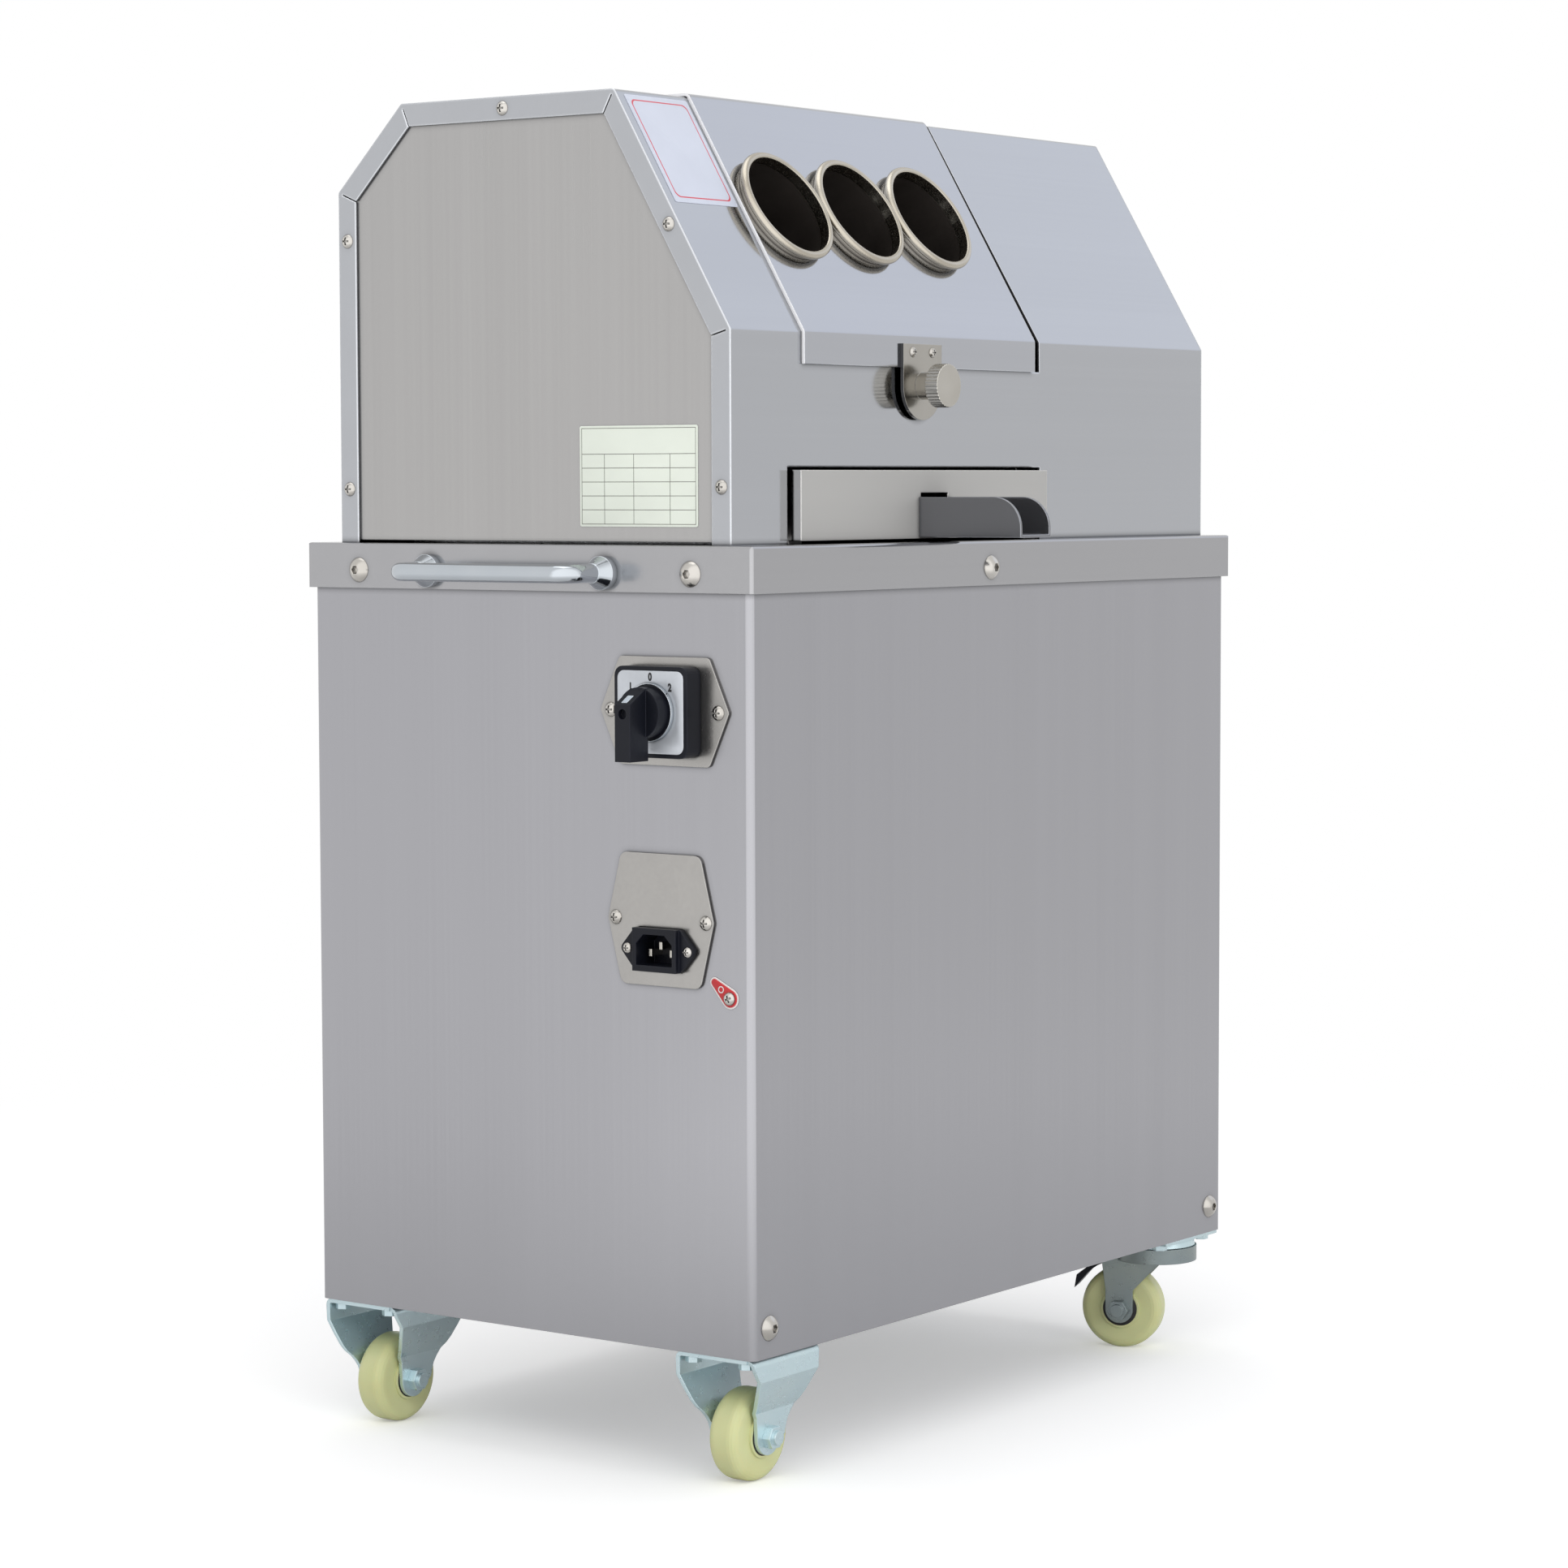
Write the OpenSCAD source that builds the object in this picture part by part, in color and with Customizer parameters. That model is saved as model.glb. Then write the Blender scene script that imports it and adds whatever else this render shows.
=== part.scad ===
// Electric sugarcane juicer: a steel cabinet on castors, a table top and a crushing head.
// Long side along X, front towards -Y, floor at Z = 0, origin under the middle of the whole box.

/* [Cabinet] */
// Height of the folded skirt round the table top
skirt_h = 25; // [23:1:30]
// Sheet thickness of the table top
table_t = 2; // [1.6:0.1:2.4]
// Height of the cabinet below the skirt
cabinet_h = 403; // [385:1:430]
// Sheet thickness of the cabinet
wall_t = 1.5; // [1.2:0.1:2]
// Outside radius of the cabinet's bent corners
bend_r = 4; // [3:0.5:5]
// Leg width of the frame's steel angle
angle_w = 25; // [22:1:27]
// Thickness of the frame's steel angle
angle_t = 3; // [2.5:0.5:4]

/* [Head] */
// Distance from the table's end edge to the head's end
head_margin = 5; // [3:0.5:7]
// Distance from the table's front edge to the head's front
head_setback = 17.5; // [16:0.5:19]
// Distance from the head's back to the table's back edge
head_backset = 21.5; // [20:0.5:25]
// Width of the head right of the lid, over the gears and the drive
drive_room = 191; // [186:1:215]
// Room in the head above the top roller
head_room = 36.5; // [34.5:0.5:46.5]
// Height of the upright front panel
front_h = 112.5; // [111:0.5:115]
// Horizontal run of the sloping front
slope_run = 76; // [74:1:78]
// Depth of the flat top
top_run = 148.5; // [145:0.5:155]
// Height of the upright back panel
back_h = 193.5; // [188:0.5:198]
// Horizontal run of the sloping back
back_run = 46.5; // [42:0.5:50]
// Sheet thickness of the head's covers
head_t = 1.5; // [1.2:0.1:1.8]
// Outside radius of the head's bends
head_bend_r = 2.5; // [2:0.25:3.5]
// Width of the folded flange round each end panel
flange_w = 12.5; // [11:0.5:14]

/* [Lid] */
// Distance from the head's left end to the lid's left edge
lid_inset = 63; // [61:0.5:65]
// Sheet thickness of the lid
lid_t = 1.5; // [1.2:0.1:2]
// Gap between the lid and the covers under it
lid_gap = 0.5; // [0.4:0.1:1]
// Height of the lip that hangs over the front panel
lip_h = 17.5; // [15:0.5:20]
// Distance of the hinge pin in front of the back bend
hinge_setback = 38.5; // [34:0.5:43]

/* [Feed tubes] */
// Inside diameter of a feed tube
tube_id = 60; // [56:0.5:60]
// Wall of a feed tube
tube_wall = 1.2; // [1:0.1:1.5]
// Gap between the rims of two neighbouring tubes
rim_gap = 0.31; // [0.3:0.01:2]
// Distance from the lid's left edge to the wall of the first tube
tube_edge = 2.3; // [2:0.1:6]
// Distance from the wall of the last tube to the lid's right edge
tube_far_edge = 25.3; // [22:0.1:30]
// Distance down the slope from the ridge to the tubes' axes
tube_drop = 71.8; // [68:0.2:76]
// Height of the rim's middle above the slope
tube_rise = 6.7; // [5:0.1:9]
// Length of a tube inside the slope
tube_depth = 25; // [18:1:27]
// Radius of the rolled rim
rim_r = 2.3; // [1.8:0.1:2.6]

/* [Rollers] */
// Radius of a crushing roller
roller_r = 36.5; // [35.5:0.1:36.8]
// Height of the lower rollers' axes above the table
roller_z = 107; // [106:0.5:108]
// Distance between the two lower rollers
roller_spread = 90; // [88:0.5:92]
// Distance of the top roller's axis behind the ridge
roller_run = 49.5; // [48:0.5:51]
// Radius of the roller shafts
shaft_r = 15; // [13:0.5:16]
// Thickness of a cheek plate
cheek_t = 14; // [12:0.5:15]
// Gear module
gear_module = 3; // [2.98:0.01:3.02]
// Teeth on each gear
gear_teeth = 25; // [25:1:25]
// Width of a gear
gear_w = 22; // [18:1:23]

/* [Juice tray] */
// Distance that the tray reaches past the lid's left edge
tray_over_left = 10.25; // [9.5:0.25:11]
// Distance that the tray reaches past the lid's right edge
tray_over_right = 5.25; // [4.5:0.25:6]
// Height of the tray
tray_h = 37.5; // [34:0.5:38]
// Distance between the tray's back wall and the head's back
tray_back_room = 43; // [40:1:58]
// Distance that the tray's front stands out of the head
tray_proud = 7; // [5:0.5:10]
// Sheet thickness of the tray and the spout
tray_t = 1.5; // [1:0.1:2]
// Width of the spout
spout_w = 30; // [26:1:34]
// Height of the spout
spout_h = 22; // [20:0.5:24]
// Length of the spout in front of the tray
spout_len = 66.5; // [55:0.5:75]

/* [Latch] */
// Width of the latch bracket
latch_w = 37.4; // [34:0.2:40]
// Diameter of the latch knob
latch_knob_d = 24; // [20:0.5:26]
// Length of the collar that guides the plunger
latch_collar_l = 9; // [7:0.5:11]

/* [Castors] */
// Overall height of a castor
castor_h = 72; // [72:0.5:75]
// Diameter of a wheel
wheel_d = 50; // [48:0.5:50]
// Width of a wheel
wheel_w = 19; // [17:0.5:20]
// Length of a castor's top plate along X
castor_plate_w = 60; // [58:1:62]
// Depth of a castor's top plate along Y
castor_plate_d = 51; // [50:0.5:53]
// Distance of a swivel castor's wheel behind its pivot
castor_trail = 20; // [18:0.5:21]
// Direction that the swivel castors trail to
trail_turn = 109; // [100:1:120]

/* [Switch and inlet] */
// Width of the switch's square frame
switch_w = 48; // [45:0.5:50]
// Depth of the switch's frame
switch_depth = 11.5; // [9:0.5:13]
// Reach of the switch knob in front of the dial
knob_reach = 24; // [20:0.5:28]
// Width of the power inlet between its points
inlet_w = 50; // [49:0.5:52]
// Height of the power inlet
inlet_h = 23; // [22:0.5:24]

/* [Handles] */
// Distance between a handle's feet
handle_span = 122; // [110:1:130]
// Reach of a handle's bar from the skirt
handle_reach = 30; // [27:0.5:34]
// Radius of a handle's bar
handle_r = 5; // [4:0.25:6]

/* [Hidden] */
$fn = 48;
arc_steps = 5;
overrun = 5;
slip = 0.1;
run_fit = 0.05;

steel = [0.74, 0.74, 0.75];
bright = [0.86, 0.87, 0.88];
zinc = [0.66, 0.71, 0.74];
dark_steel = [0.35, 0.36, 0.38];
bronze = [0.72, 0.55, 0.33];
black = [0.08, 0.08, 0.1];
cream = [0.83, 0.84, 0.63];
cast_grey = [0.52, 0.54, 0.56];

// Outside sizes of the head and the table, from the feed tubes and the rollers outwards
rim_out_share = 0.15;
tube_or = tube_id / 2 + tube_wall;
rim_or = tube_or + (1 + rim_out_share) * rim_r;
tube_pitch = 2 * rim_or + rim_gap;
tube_first = tube_edge + tube_or;
lid_w = tube_first + 2 * tube_pitch + tube_or + tube_far_edge;
head_w = lid_inset + lid_w + drive_room;
table_w = head_w + 2 * head_margin;
mesh_d = gear_module * gear_teeth;
top_rise = sqrt(mesh_d * mesh_d - roller_spread * roller_spread / 4);
head_h = roller_z + top_rise + roller_r + head_room;
head_d = slope_run + top_run + back_run;
table_d = head_setback + head_d + head_backset;

// Levels and outside sizes
skirt_gap = 0.5;
cabinet_w = table_w - 2 * (table_t + skirt_gap);
cabinet_d = table_d - 2 * (table_t + skirt_gap);
floor_z = castor_h;
skirt_z = floor_z + cabinet_h;
table_z = skirt_z + skirt_h;
under_z = table_z - table_t;
left_x = -cabinet_w / 2;
inside_w = cabinet_w - 2 * wall_t;
inside_d = cabinet_d - 2 * wall_t;

// Fasteners
screw_r = 2;
screw_head_r = 4;
screw_head_h = 2.4;
screw_len = 7;
screw_slot_w = 1.1;
screw_slot_l = 4.4;
screw_slot_d = 1.2;
bolt_r = 3;
bolt_head_r = 7;
bolt_head_h = 4;
bolt_len = 9;
bolt_socket_r = 2.6;
bolt_socket_d = 2.2;

// Head outline from the side, as [y, z] above the table
head_front = -table_d / 2 + head_setback;
head_back = head_front + head_d;
ridge_y = head_front + slope_run;
head_outline = [
    [head_front, 0], [head_back, 0], [head_back, back_h],
    [head_back - back_run, head_h], [ridge_y, head_h], [head_front, front_h]
];
head_x = head_w / 2;
slope_a = atan2(head_h - front_h, slope_run);
slope_down = [-cos(slope_a), -sin(slope_a)];
mitre_w = 0.8;
// Side of the outline and share along it for each end-panel screw
flange_screw_shares = [[1, 0.153], [1, 0.861], [3, 0.484], [4, 0.542], [5, 0.73]];

// Lid
lid_x0 = -head_x + lid_inset;
lid_x1 = lid_x0 + lid_w;
tube_side_gap = 0.5;
lid_lap = tube_edge - tube_side_gap;
lid_seam = 4.9;
lid_seam_low = 7.6;
lid_out = lid_gap + lid_t;
lip_z = front_h + lid_gap - lip_h;
hinge_y = ridge_y + top_run - hinge_setback;
knuckle_r = 3.2;
hinge_pin_r = 1.5;
leaf_t = 1.5;
leaf_w = 24;
knuckle_count = 9;
knuckle_gap = 0.4;
hinge_z = head_h + lid_out + leaf_t;
lid_tail = knuckle_r + knuckle_gap;
opening_z = front_h - head_t - head_bend_r;

// Feed tubes
tube_spot = [ridge_y, head_h] + tube_drop * slope_down;

// Latch
latch_shift = -4.5;
latch_x = (lid_x0 + lid_x1) / 2 + latch_shift;
latch_t = 2;
latch_top_lap = 13;
latch_drop = 10;
latch_screw_span = 19;
latch_screw_drop = 4.5;
latch_y = head_front - lid_out;
latch_top_z = lip_z + latch_top_lap;
latch_pin_z = lip_z - latch_drop;
latch_pin_r = 4;
latch_collar_r = 7.5;
latch_knob_l = 8;
latch_knob_gap = 0.4;
latch_tip_gap = 0.4;
knurl_count = 36;
knurl_share = 0.95;

// Juice tray
tray_w = tray_over_left + lid_w + tray_over_right;
tray_x = lid_x0 - tray_over_left + tray_w / 2;
tray_len = tray_proud + head_d - tray_back_room;
tray_side_gap = 3;
tray_top_gap = 1.7;
tray_lift = 1.8;
tray_runner_w = 12;
tray_front = head_front - tray_proud;
spout_tip = tray_front - spout_len;
spout_shift = 5;
spout_x = tray_x + spout_shift;
spout_lift = 0.7;
spout_corner_r = 17;
spout_slot_rise = 2.5;

// Rollers, gears and the plates that carry them
cheek_clear = 4.5;
cheek_in_l = tray_x - tray_w / 2 - cheek_clear;
cheek_in_r = tray_x + tray_w / 2 + cheek_clear;
top_axis = [ridge_y + roller_run, roller_z + top_rise];
front_axis = [top_axis[0] - roller_spread / 2, roller_z];
rear_axis = [top_axis[0] + roller_spread / 2, roller_z];
bush_wall = 7;
bush_flange_r = 27;
bush_flange_t = 2.5;
roller_end_gap = 0.5;
roller_x0 = cheek_in_l + bush_flange_t + roller_end_gap;
roller_x1 = cheek_in_r - bush_flange_t - roller_end_gap;
groove_count = 30;
groove_depth = 1.5;
shaft_end = 3;
gear_gap = 5.3;
gear_x = cheek_in_r + cheek_t + gear_gap;
pressure_a = 20;
gear_backlash = 0.6;
gear_root_share = 1.25;
flank_steps = 3;
gear_hub_r = 24;
gear_hub_l = 3;
tie_r = 7;
tie_back = 74;
tie_under_top = 35;
tie_front = 32.5;
tie_under_roller = 32;
tie_places = [
    [top_axis[0] + tie_back, head_h - tie_under_top], [head_front + tie_front, roller_z - tie_under_roller]
];
turner_w = 14;
turner_h = 22;
turner_gap = 1.5;
cheek_foot_front = 17;
cheek_foot_back = 23;
cheek_top_gap = 25;
cheek_top_z = head_h - cheek_top_gap;
cheek_front_gap = 17.5;
cheek_shoulder_front_z = front_h - cheek_front_gap;
cheek_back_gap = 73.5;
cheek_shoulder_back_z = back_h - cheek_back_gap;
cheek_ridge_gap = 11.5;
cheek_top_front = ridge_y + cheek_ridge_gap;
cheek_bend_gap = 7;
cheek_top_back = ridge_y + top_run - cheek_bend_gap;
cheek_corner_r = 8;
chute_t = 1.5;
chute_tip_a = 40;
chute_tip_gap = 1;
chute_end_z = 93;
outlet_z0 = 96;
outlet_top_gap = 28.5;
outlet_z1 = back_h - outlet_top_gap;
outlet_inset = 6;

// Drive
drive_gap = 4;
drive_x0 = gear_x + gear_w + gear_hub_l + drive_gap;
drive_l_share = 78 / 191;
drive_l = drive_room * drive_l_share;
drive_x = drive_x0 + drive_l / 2;
worm_offset = 63;
worm_y = top_axis[0] + worm_offset;
case_r = 62;
case_cover_r = 46;
case_cover_t = 5;
worm_case_r = 32;
worm_case_gap = 14;
worm_case_top = head_h - worm_case_gap;
worm_cap_r = 24;
worm_cap_h = 5;
drive_flange_r = 62;
drive_flange_t = 12;
drive_plate_t = 6;
drive_plate_lead = 18;
drive_plate_x0 = gear_x - drive_plate_lead;
motor_r_share = 64 / 191;
motor_r = drive_room * motor_r_share;
motor_fin_h = 5;
motor_fin_w = 3;
motor_fins = 18;
motor_l = 150;
motor_bell_l = 14;
motor_cowl_l = 42;
motor_neck_r = 30;
terminal_box = [40, 60, 70];

// Castors
castor_inset = [1.5, 2];
castor_x = cabinet_w / 2 - castor_plate_w / 2 - castor_inset[0];
castor_y = cabinet_d / 2 - castor_plate_d / 2 - castor_inset[1];
castor_t = 2.5;
castor_bolt_span = [49, 35];
castor_bolt_r = 2.5;
castor_bolt_head_r = 4.5;
castor_bolt_head_h = 3.5;
castor_bolt_len = 12;
axle_r = 4;
axle_nut_r = 6.5;
axle_nut_h = 5;
axle_end = 2;
leg_in = 11.5;
leg_foot_r = 8.5;
leg_bend_r = 4;
leg_upright = 13;
leg_drawn_rise = 14;
leg_slim = [[27, 6], [22.5, 13], [13, 30], [10.5, 36]];
leg_flare = [
    [29.6, 12], [28.8, 20], [27.6, 26.5], [26, 30], [23, 33], [19.6, 36.3], [16.8, 40], [15.2, 44], [14.4, 47.5]
];
rigid_foot_r = 10;
wheel_edge_r = 5.5;
hub_r = 12;
hub_proud = 1.5;
race_r = 24;
race_top_r = 22.5;
race_h = 4.5;
race_gap = 0.3;
crown_r = 25;
crown_h = 9;
king_r = 6;
king_nut_r = 10;
king_nut_h = 4;
crown_mouth = 4;
fork_back_r = 11;
fork_heel_rise = 12;
fork_chin = 6;
pedal_t = 3;
pedal_w = 15;
pedal_pin_r = 2;
pedal_barrel_r = 3.8;
pedal_clear = 4.5;
pedal_root_a = 82;
pedal_bend_a = 44;
pedal_knee_a = 34;
pedal_tip_a = 20;
pedal_tip_r = 31.5;
pedal_pin_a = 84;
pedal_pin_out = 7.5;

// Whole box: the spout leads at the front and a brake pedal at the back
pedal_reach = castor_trail + pedal_tip_r * cos(pedal_tip_a);
back_reach = castor_y + pedal_reach * sin(trail_turn) + abs(cos(trail_turn)) * pedal_w / 2;
unit_y = -(spout_tip + back_reach) / 2;

// Switch and inlet plates
switch_inset = 56.5;
switch_y = switch_inset - cabinet_d / 2;
switch_drop = 87.3;
switch_z = table_z - switch_drop;
plate_t = 1.5;
plate_corner_r = 3;
switch_plate_half = [42.7, 29.7, 28.7];
switch_screw_half = 35.7;
switch_corner_r = 5;
switch_back_w = 40;
switch_back_l = 45;
knob_ring_r = 14.7;
knob_ring_h = 2;
knob_disc_r = 13.5;
knob_disc_h = 8.5;
knob_bar_w = 10;
knob_bar_up = 13;
knob_bar_brow = 5;
knob_bar_down = 25;
knob_bar_sink = 2;
knob_stem_r = 5;
knob_screw_r = 2.7;
knob_screw_d = 3;
inlet_inset = 59.5;
inlet_y = inlet_inset - cabinet_d / 2;
inlet_plate_drop = 198;
inlet_plate_z = table_z - inlet_plate_drop;
inlet_drop = 213.7;
inlet_z = table_z - inlet_drop;
inlet_plate_half = [35.2, 26.4, 35.2];
inlet_plate_r = 5;
inlet_screw_half = 30;
inlet_flat_half = 15;
inlet_flange_t = 3;
inlet_block_t = 6;
inlet_block_half = 14.5;
inlet_screw_span = 40;
inlet_cup = [24, 16.5];
inlet_cup_chamfer = 5;
inlet_cup_d = 16;
inlet_back_l = 22;
inlet_pin = [8, 2, 4];
inlet_pin_half = 7;
inlet_pin_shift = 2;
small_screw_share = 0.75;

// Handles
handle_y = 4;
handle_drop = 15;
handle_z = table_z - handle_drop;
handle_bend_r = 9;
collar_r = 9;
collar_h = 4;
neck_h = 7;

// Bolt places on the skirt and the cabinet
skirt_bolt_insets = [40.6, 38.2];
skirt_bolt_y = [table_d / 2 - skirt_bolt_insets[1], skirt_bolt_insets[0] - table_d / 2];
skirt_bolt_x = -20;
skirt_bolt_drop = 15;
base_bolt_inset = 14;
base_bolt_rise = 16;

// Back panel
return_w = 18;
back_panel_lap = 11;
back_panel_inset = 6;
vent_rows = 8;
vent_cols = 4;
vent_l_share = 60 / 84;
vent_w = 5;
vent_pitch_share = 84 / 485;
vent_pitch_x = cabinet_w * vent_pitch_share;
vent_l = vent_pitch_x * vent_l_share;
vent_pitch_z = 16;
vent_drop_share = 0.62;

// Points and outlines

function arc(c, r, a0, a1) =
    [for (i = [0:arc_steps]) let (a = a0 + (a1 - a0) * i / arc_steps) c + r * [cos(a), sin(a)]];

function round_rect(w, d, r) = concat(
    arc([w / 2 - r, d / 2 - r], r, 0, 90),
    arc([r - w / 2, d / 2 - r], r, 90, 180),
    arc([r - w / 2, r - d / 2], r, 180, 270),
    arc([w / 2 - r, r - d / 2], r, 270, 360)
);

function turned(a) = [cos(a), sin(a)];
function unit_of(v) = v / norm(v);
function inward(a, b) = let (v = unit_of(b - a)) [-v[1], v[0]];
function meet(p, u, q, v) = p + u * cross(q - p, v) / cross(u, v);
function before(p, i) = p[(i + len(p) - 1) % len(p)];
function after(p, i) = p[(i + 1) % len(p)];

// The outline moved inwards by t, or outwards where t is negative
function inset(p, t) = [for (i = [0:len(p) - 1])
    let (a = before(p, i), b = p[i], c = after(p, i))
    meet(b + t * inward(a, b), b - a, b + t * inward(b, c), c - b)];

// One corner of a convex outline as an arc of radius r
function corner(a, b, c, r) =
    let (u = unit_of(a - b), v = unit_of(c - b), half = acos(u * v) / 2)
    let (mid = b + unit_of(u + v) * r / sin(half), first = b + u * r / tan(half) - mid)
    let (start = atan2(first[1], first[0]))
    arc(mid, r, start, start + 180 - 2 * half);

// A convex outline whose corners are rounded, apart from the first plain_count ones
function softened(p, r, plain_count = 0) = [for (i = [0:len(p) - 1])
    each (i < plain_count ? [p[i]] : corner(before(p, i), p[i], after(p, i), r))];

function side_point(p, side, share) = p[side] + share * (after(p, side) - p[side]);

// A hexagon plate with two pointed ends
function hexagon(half) = [
    [half[0], 0], [half[1], half[2]], [-half[1], half[2]],
    [-half[0], 0], [-half[1], -half[2]], [half[1], -half[2]]
];

// Placing

module unit() translate([0, unit_y, 0]) children();

// A flat [y, z] outline drawn out along X
module along_x(x0, length) translate([x0, 0, 0]) rotate([90, 0, 90]) linear_extrude(length) children();

// A flat [x, z] outline drawn out along Y
module along_y(y0, length)
    translate([0, y0 + length, 0]) rotate([90, 0, 0]) linear_extrude(length) children();

// A round bar along X through a [y, z] point
module bar_x(place, x0, x1, r) along_x(x0, x1 - x0) translate(place) circle(r);

module above_table() translate([0, 0, table_z]) children();

// Pieces that face outwards to the left, with local +Z pointing along -X
module on_left(x, y, z) translate([x, y, z]) rotate([0, -90, 0]) rotate([0, 0, -90]) children();

module on_right(x, y, z) mirror([1, 0, 0]) on_left(-x, y, z) children();

// Pieces that face the front, with local +Z pointing along -Y
module on_front(x, y, z) translate([x, y, z]) rotate([90, 0, 0]) children();

module on_back(x, y, z) mirror([0, 1, 0]) on_front(x, -y, z) children();

module both_ends() {
    children();
    mirror([1, 0, 0]) children();
}

// Fasteners

// Round cap of a sphere on the plane Z = 0
module dome(r, h) {
    ball_r = (r * r + h * h) / (2 * h);
    intersection() {
        translate([0, 0, h - ball_r]) sphere(ball_r);
        cylinder(h = 2 * h, r = 2 * r);
    }
}

module pan_screw(share = 1, length = screw_len) {
    difference() {
        dome(screw_head_r * share, screw_head_h * share);
        for (a = [0, 90])
            rotate([0, 0, a])
                scale(share) translate([-screw_slot_l / 2, -screw_slot_w / 2, screw_head_h - screw_slot_d])
                    cube([screw_slot_l, screw_slot_w, screw_head_h]);
    }
    translate([0, 0, -length]) cylinder(h = length + screw_head_h * share / 4, r = screw_r * share);
}

module screw_hole(share = 1)
    translate([0, 0, -screw_len - overrun]) cylinder(h = screw_len + 2 * overrun, r = screw_r * share + slip);

module button_bolt() {
    difference() {
        dome(bolt_head_r, bolt_head_h);
        translate([0, 0, bolt_head_h - bolt_socket_d]) cylinder(h = bolt_head_h, r = bolt_socket_r, $fn = 6);
    }
    translate([0, 0, -bolt_len]) cylinder(h = bolt_len + bolt_head_h / 4, r = bolt_r);
}

module bolt_hole()
    translate([0, 0, -bolt_len - overrun]) cylinder(h = bolt_len + 2 * overrun, r = bolt_r + slip);

// Places of the fasteners, each with its own upward axis

module flange_screw_places()
    above_table()
        for (s = flange_screw_shares)
            let (edge = side_point(head_outline, s[0], s[1]))
            let (p = edge + inward(head_outline[s[0]], after(head_outline, s[0])) * flange_w / 2)
            both_ends() on_left(-head_x, p[0], p[1]) children();

module switch_screw_places()
    for (s = [-1, 1]) on_left(left_x - plate_t, switch_y + s * switch_screw_half, switch_z) children();

module inlet_plate_screw_places()
    for (s = [-1, 1]) on_left(left_x - plate_t, inlet_y + s * inlet_screw_half, inlet_plate_z) children();

module inlet_screw_places()
    for (s = [-1, 1])
        on_left(left_x - plate_t - inlet_flange_t, inlet_y + s * inlet_screw_span / 2, inlet_z) children();

module back_screw_places()
    for (sx = [-1, 1])
        for (share = [-1, 0, 1])
            on_back(sx * back_screw_x, cabinet_d / 2 + wall_t, back_mid_z + share * back_screw_half_z)
                children();

module skirt_bolt_places() {
    both_ends()
        for (y = skirt_bolt_y) on_left(-table_w / 2, y, table_z - skirt_bolt_drop) children();
    on_front(skirt_bolt_x, -table_d / 2, table_z - skirt_bolt_drop) children();
    on_back(skirt_bolt_x, table_d / 2, table_z - skirt_bolt_drop) children();
}

module base_bolt_places()
    both_ends() on_front(left_x + base_bolt_inset, -cabinet_d / 2, floor_z + base_bolt_rise) children();

module castor_places()
    for (sx = [-1, 1])
        for (sy = [-1, 1]) translate([sx * castor_x, sy * castor_y, floor_z]) children();

module castor_bolt_places()
    castor_places()
        for (bx = [-1, 1])
            for (by = [-1, 1])
                translate([bx * castor_bolt_span[0] / 2, by * castor_bolt_span[1] / 2, 0]) children();

module castor_bolt_holes()
    castor_bolt_places()
        translate([0, 0, -castor_t - overrun])
            cylinder(h = castor_t + castor_bolt_len + 2 * overrun, r = castor_bolt_r + slip);

// Cabinet

back_mid_z = (floor_z + skirt_z) / 2;
back_panel_w = cabinet_w - 2 * (return_w - back_panel_lap);
back_panel_h = cabinet_h - 2 * back_panel_inset;
back_screw_x = cabinet_w / 2 - return_w + back_panel_lap / 2;
back_screw_half_z = back_panel_h / 2 - back_panel_lap / 2;

module frame_hull()
    linear_extrude(table_z) polygon(round_rect(inside_w - 2 * slip, inside_d - 2 * slip, bend_r - wall_t));

// A rectangle of steel angle, its flat legs on the side that flat_up gives
module angle_ring(z, flat_up) {
    w = inside_w;
    d = inside_d;
    translate([0, 0, z]) difference() {
        translate([-w / 2, -d / 2, 0]) cube([w, d, angle_w]);
        translate([angle_t - w / 2, angle_t - d / 2, flat_up ? -overrun : angle_t])
            cube([w - 2 * angle_t, d - 2 * angle_t, angle_w + (flat_up ? overrun - angle_t : overrun)]);
        translate([angle_w - w / 2, angle_w - d / 2, -overrun])
            cube([w - 2 * angle_w, d - 2 * angle_w, angle_w + 2 * overrun]);
    }
}

module welded_frame() {
    post_h = under_z - floor_z - wall_t;
    color(dark_steel) unit() difference() {
        intersection() {
            union() {
                angle_ring(floor_z + wall_t, false);
                angle_ring(under_z - angle_w, true);
                for (sx = [-1, 1])
                    for (sy = [-1, 1])
                        translate([sx * inside_w / 2, sy * inside_d / 2, floor_z + wall_t])
                            scale([-sx, -sy, 1]) difference() {
                                cube([angle_w, angle_w, post_h]);
                                translate([angle_t, angle_t, -overrun])
                                    cube([angle_w, angle_w, post_h + 2 * overrun]);
                            }
                translate([drive_plate_x0, angle_t - inside_d / 2, under_z - drive_plate_t])
                    cube([inside_w / 2 - angle_t - drive_plate_x0, inside_d - 2 * angle_t, drive_plate_t]);
            }
            frame_hull();
        }
        translate([drive_x, worm_y, 0]) cylinder(h = table_z, r = motor_neck_r + slip);
        castor_bolt_holes();
        skirt_bolt_places() bolt_hole();
        base_bolt_places() bolt_hole();
        back_screw_places() screw_hole();
        switch_screw_places() screw_hole();
        inlet_plate_screw_places() screw_hole();
    }
}

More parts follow.
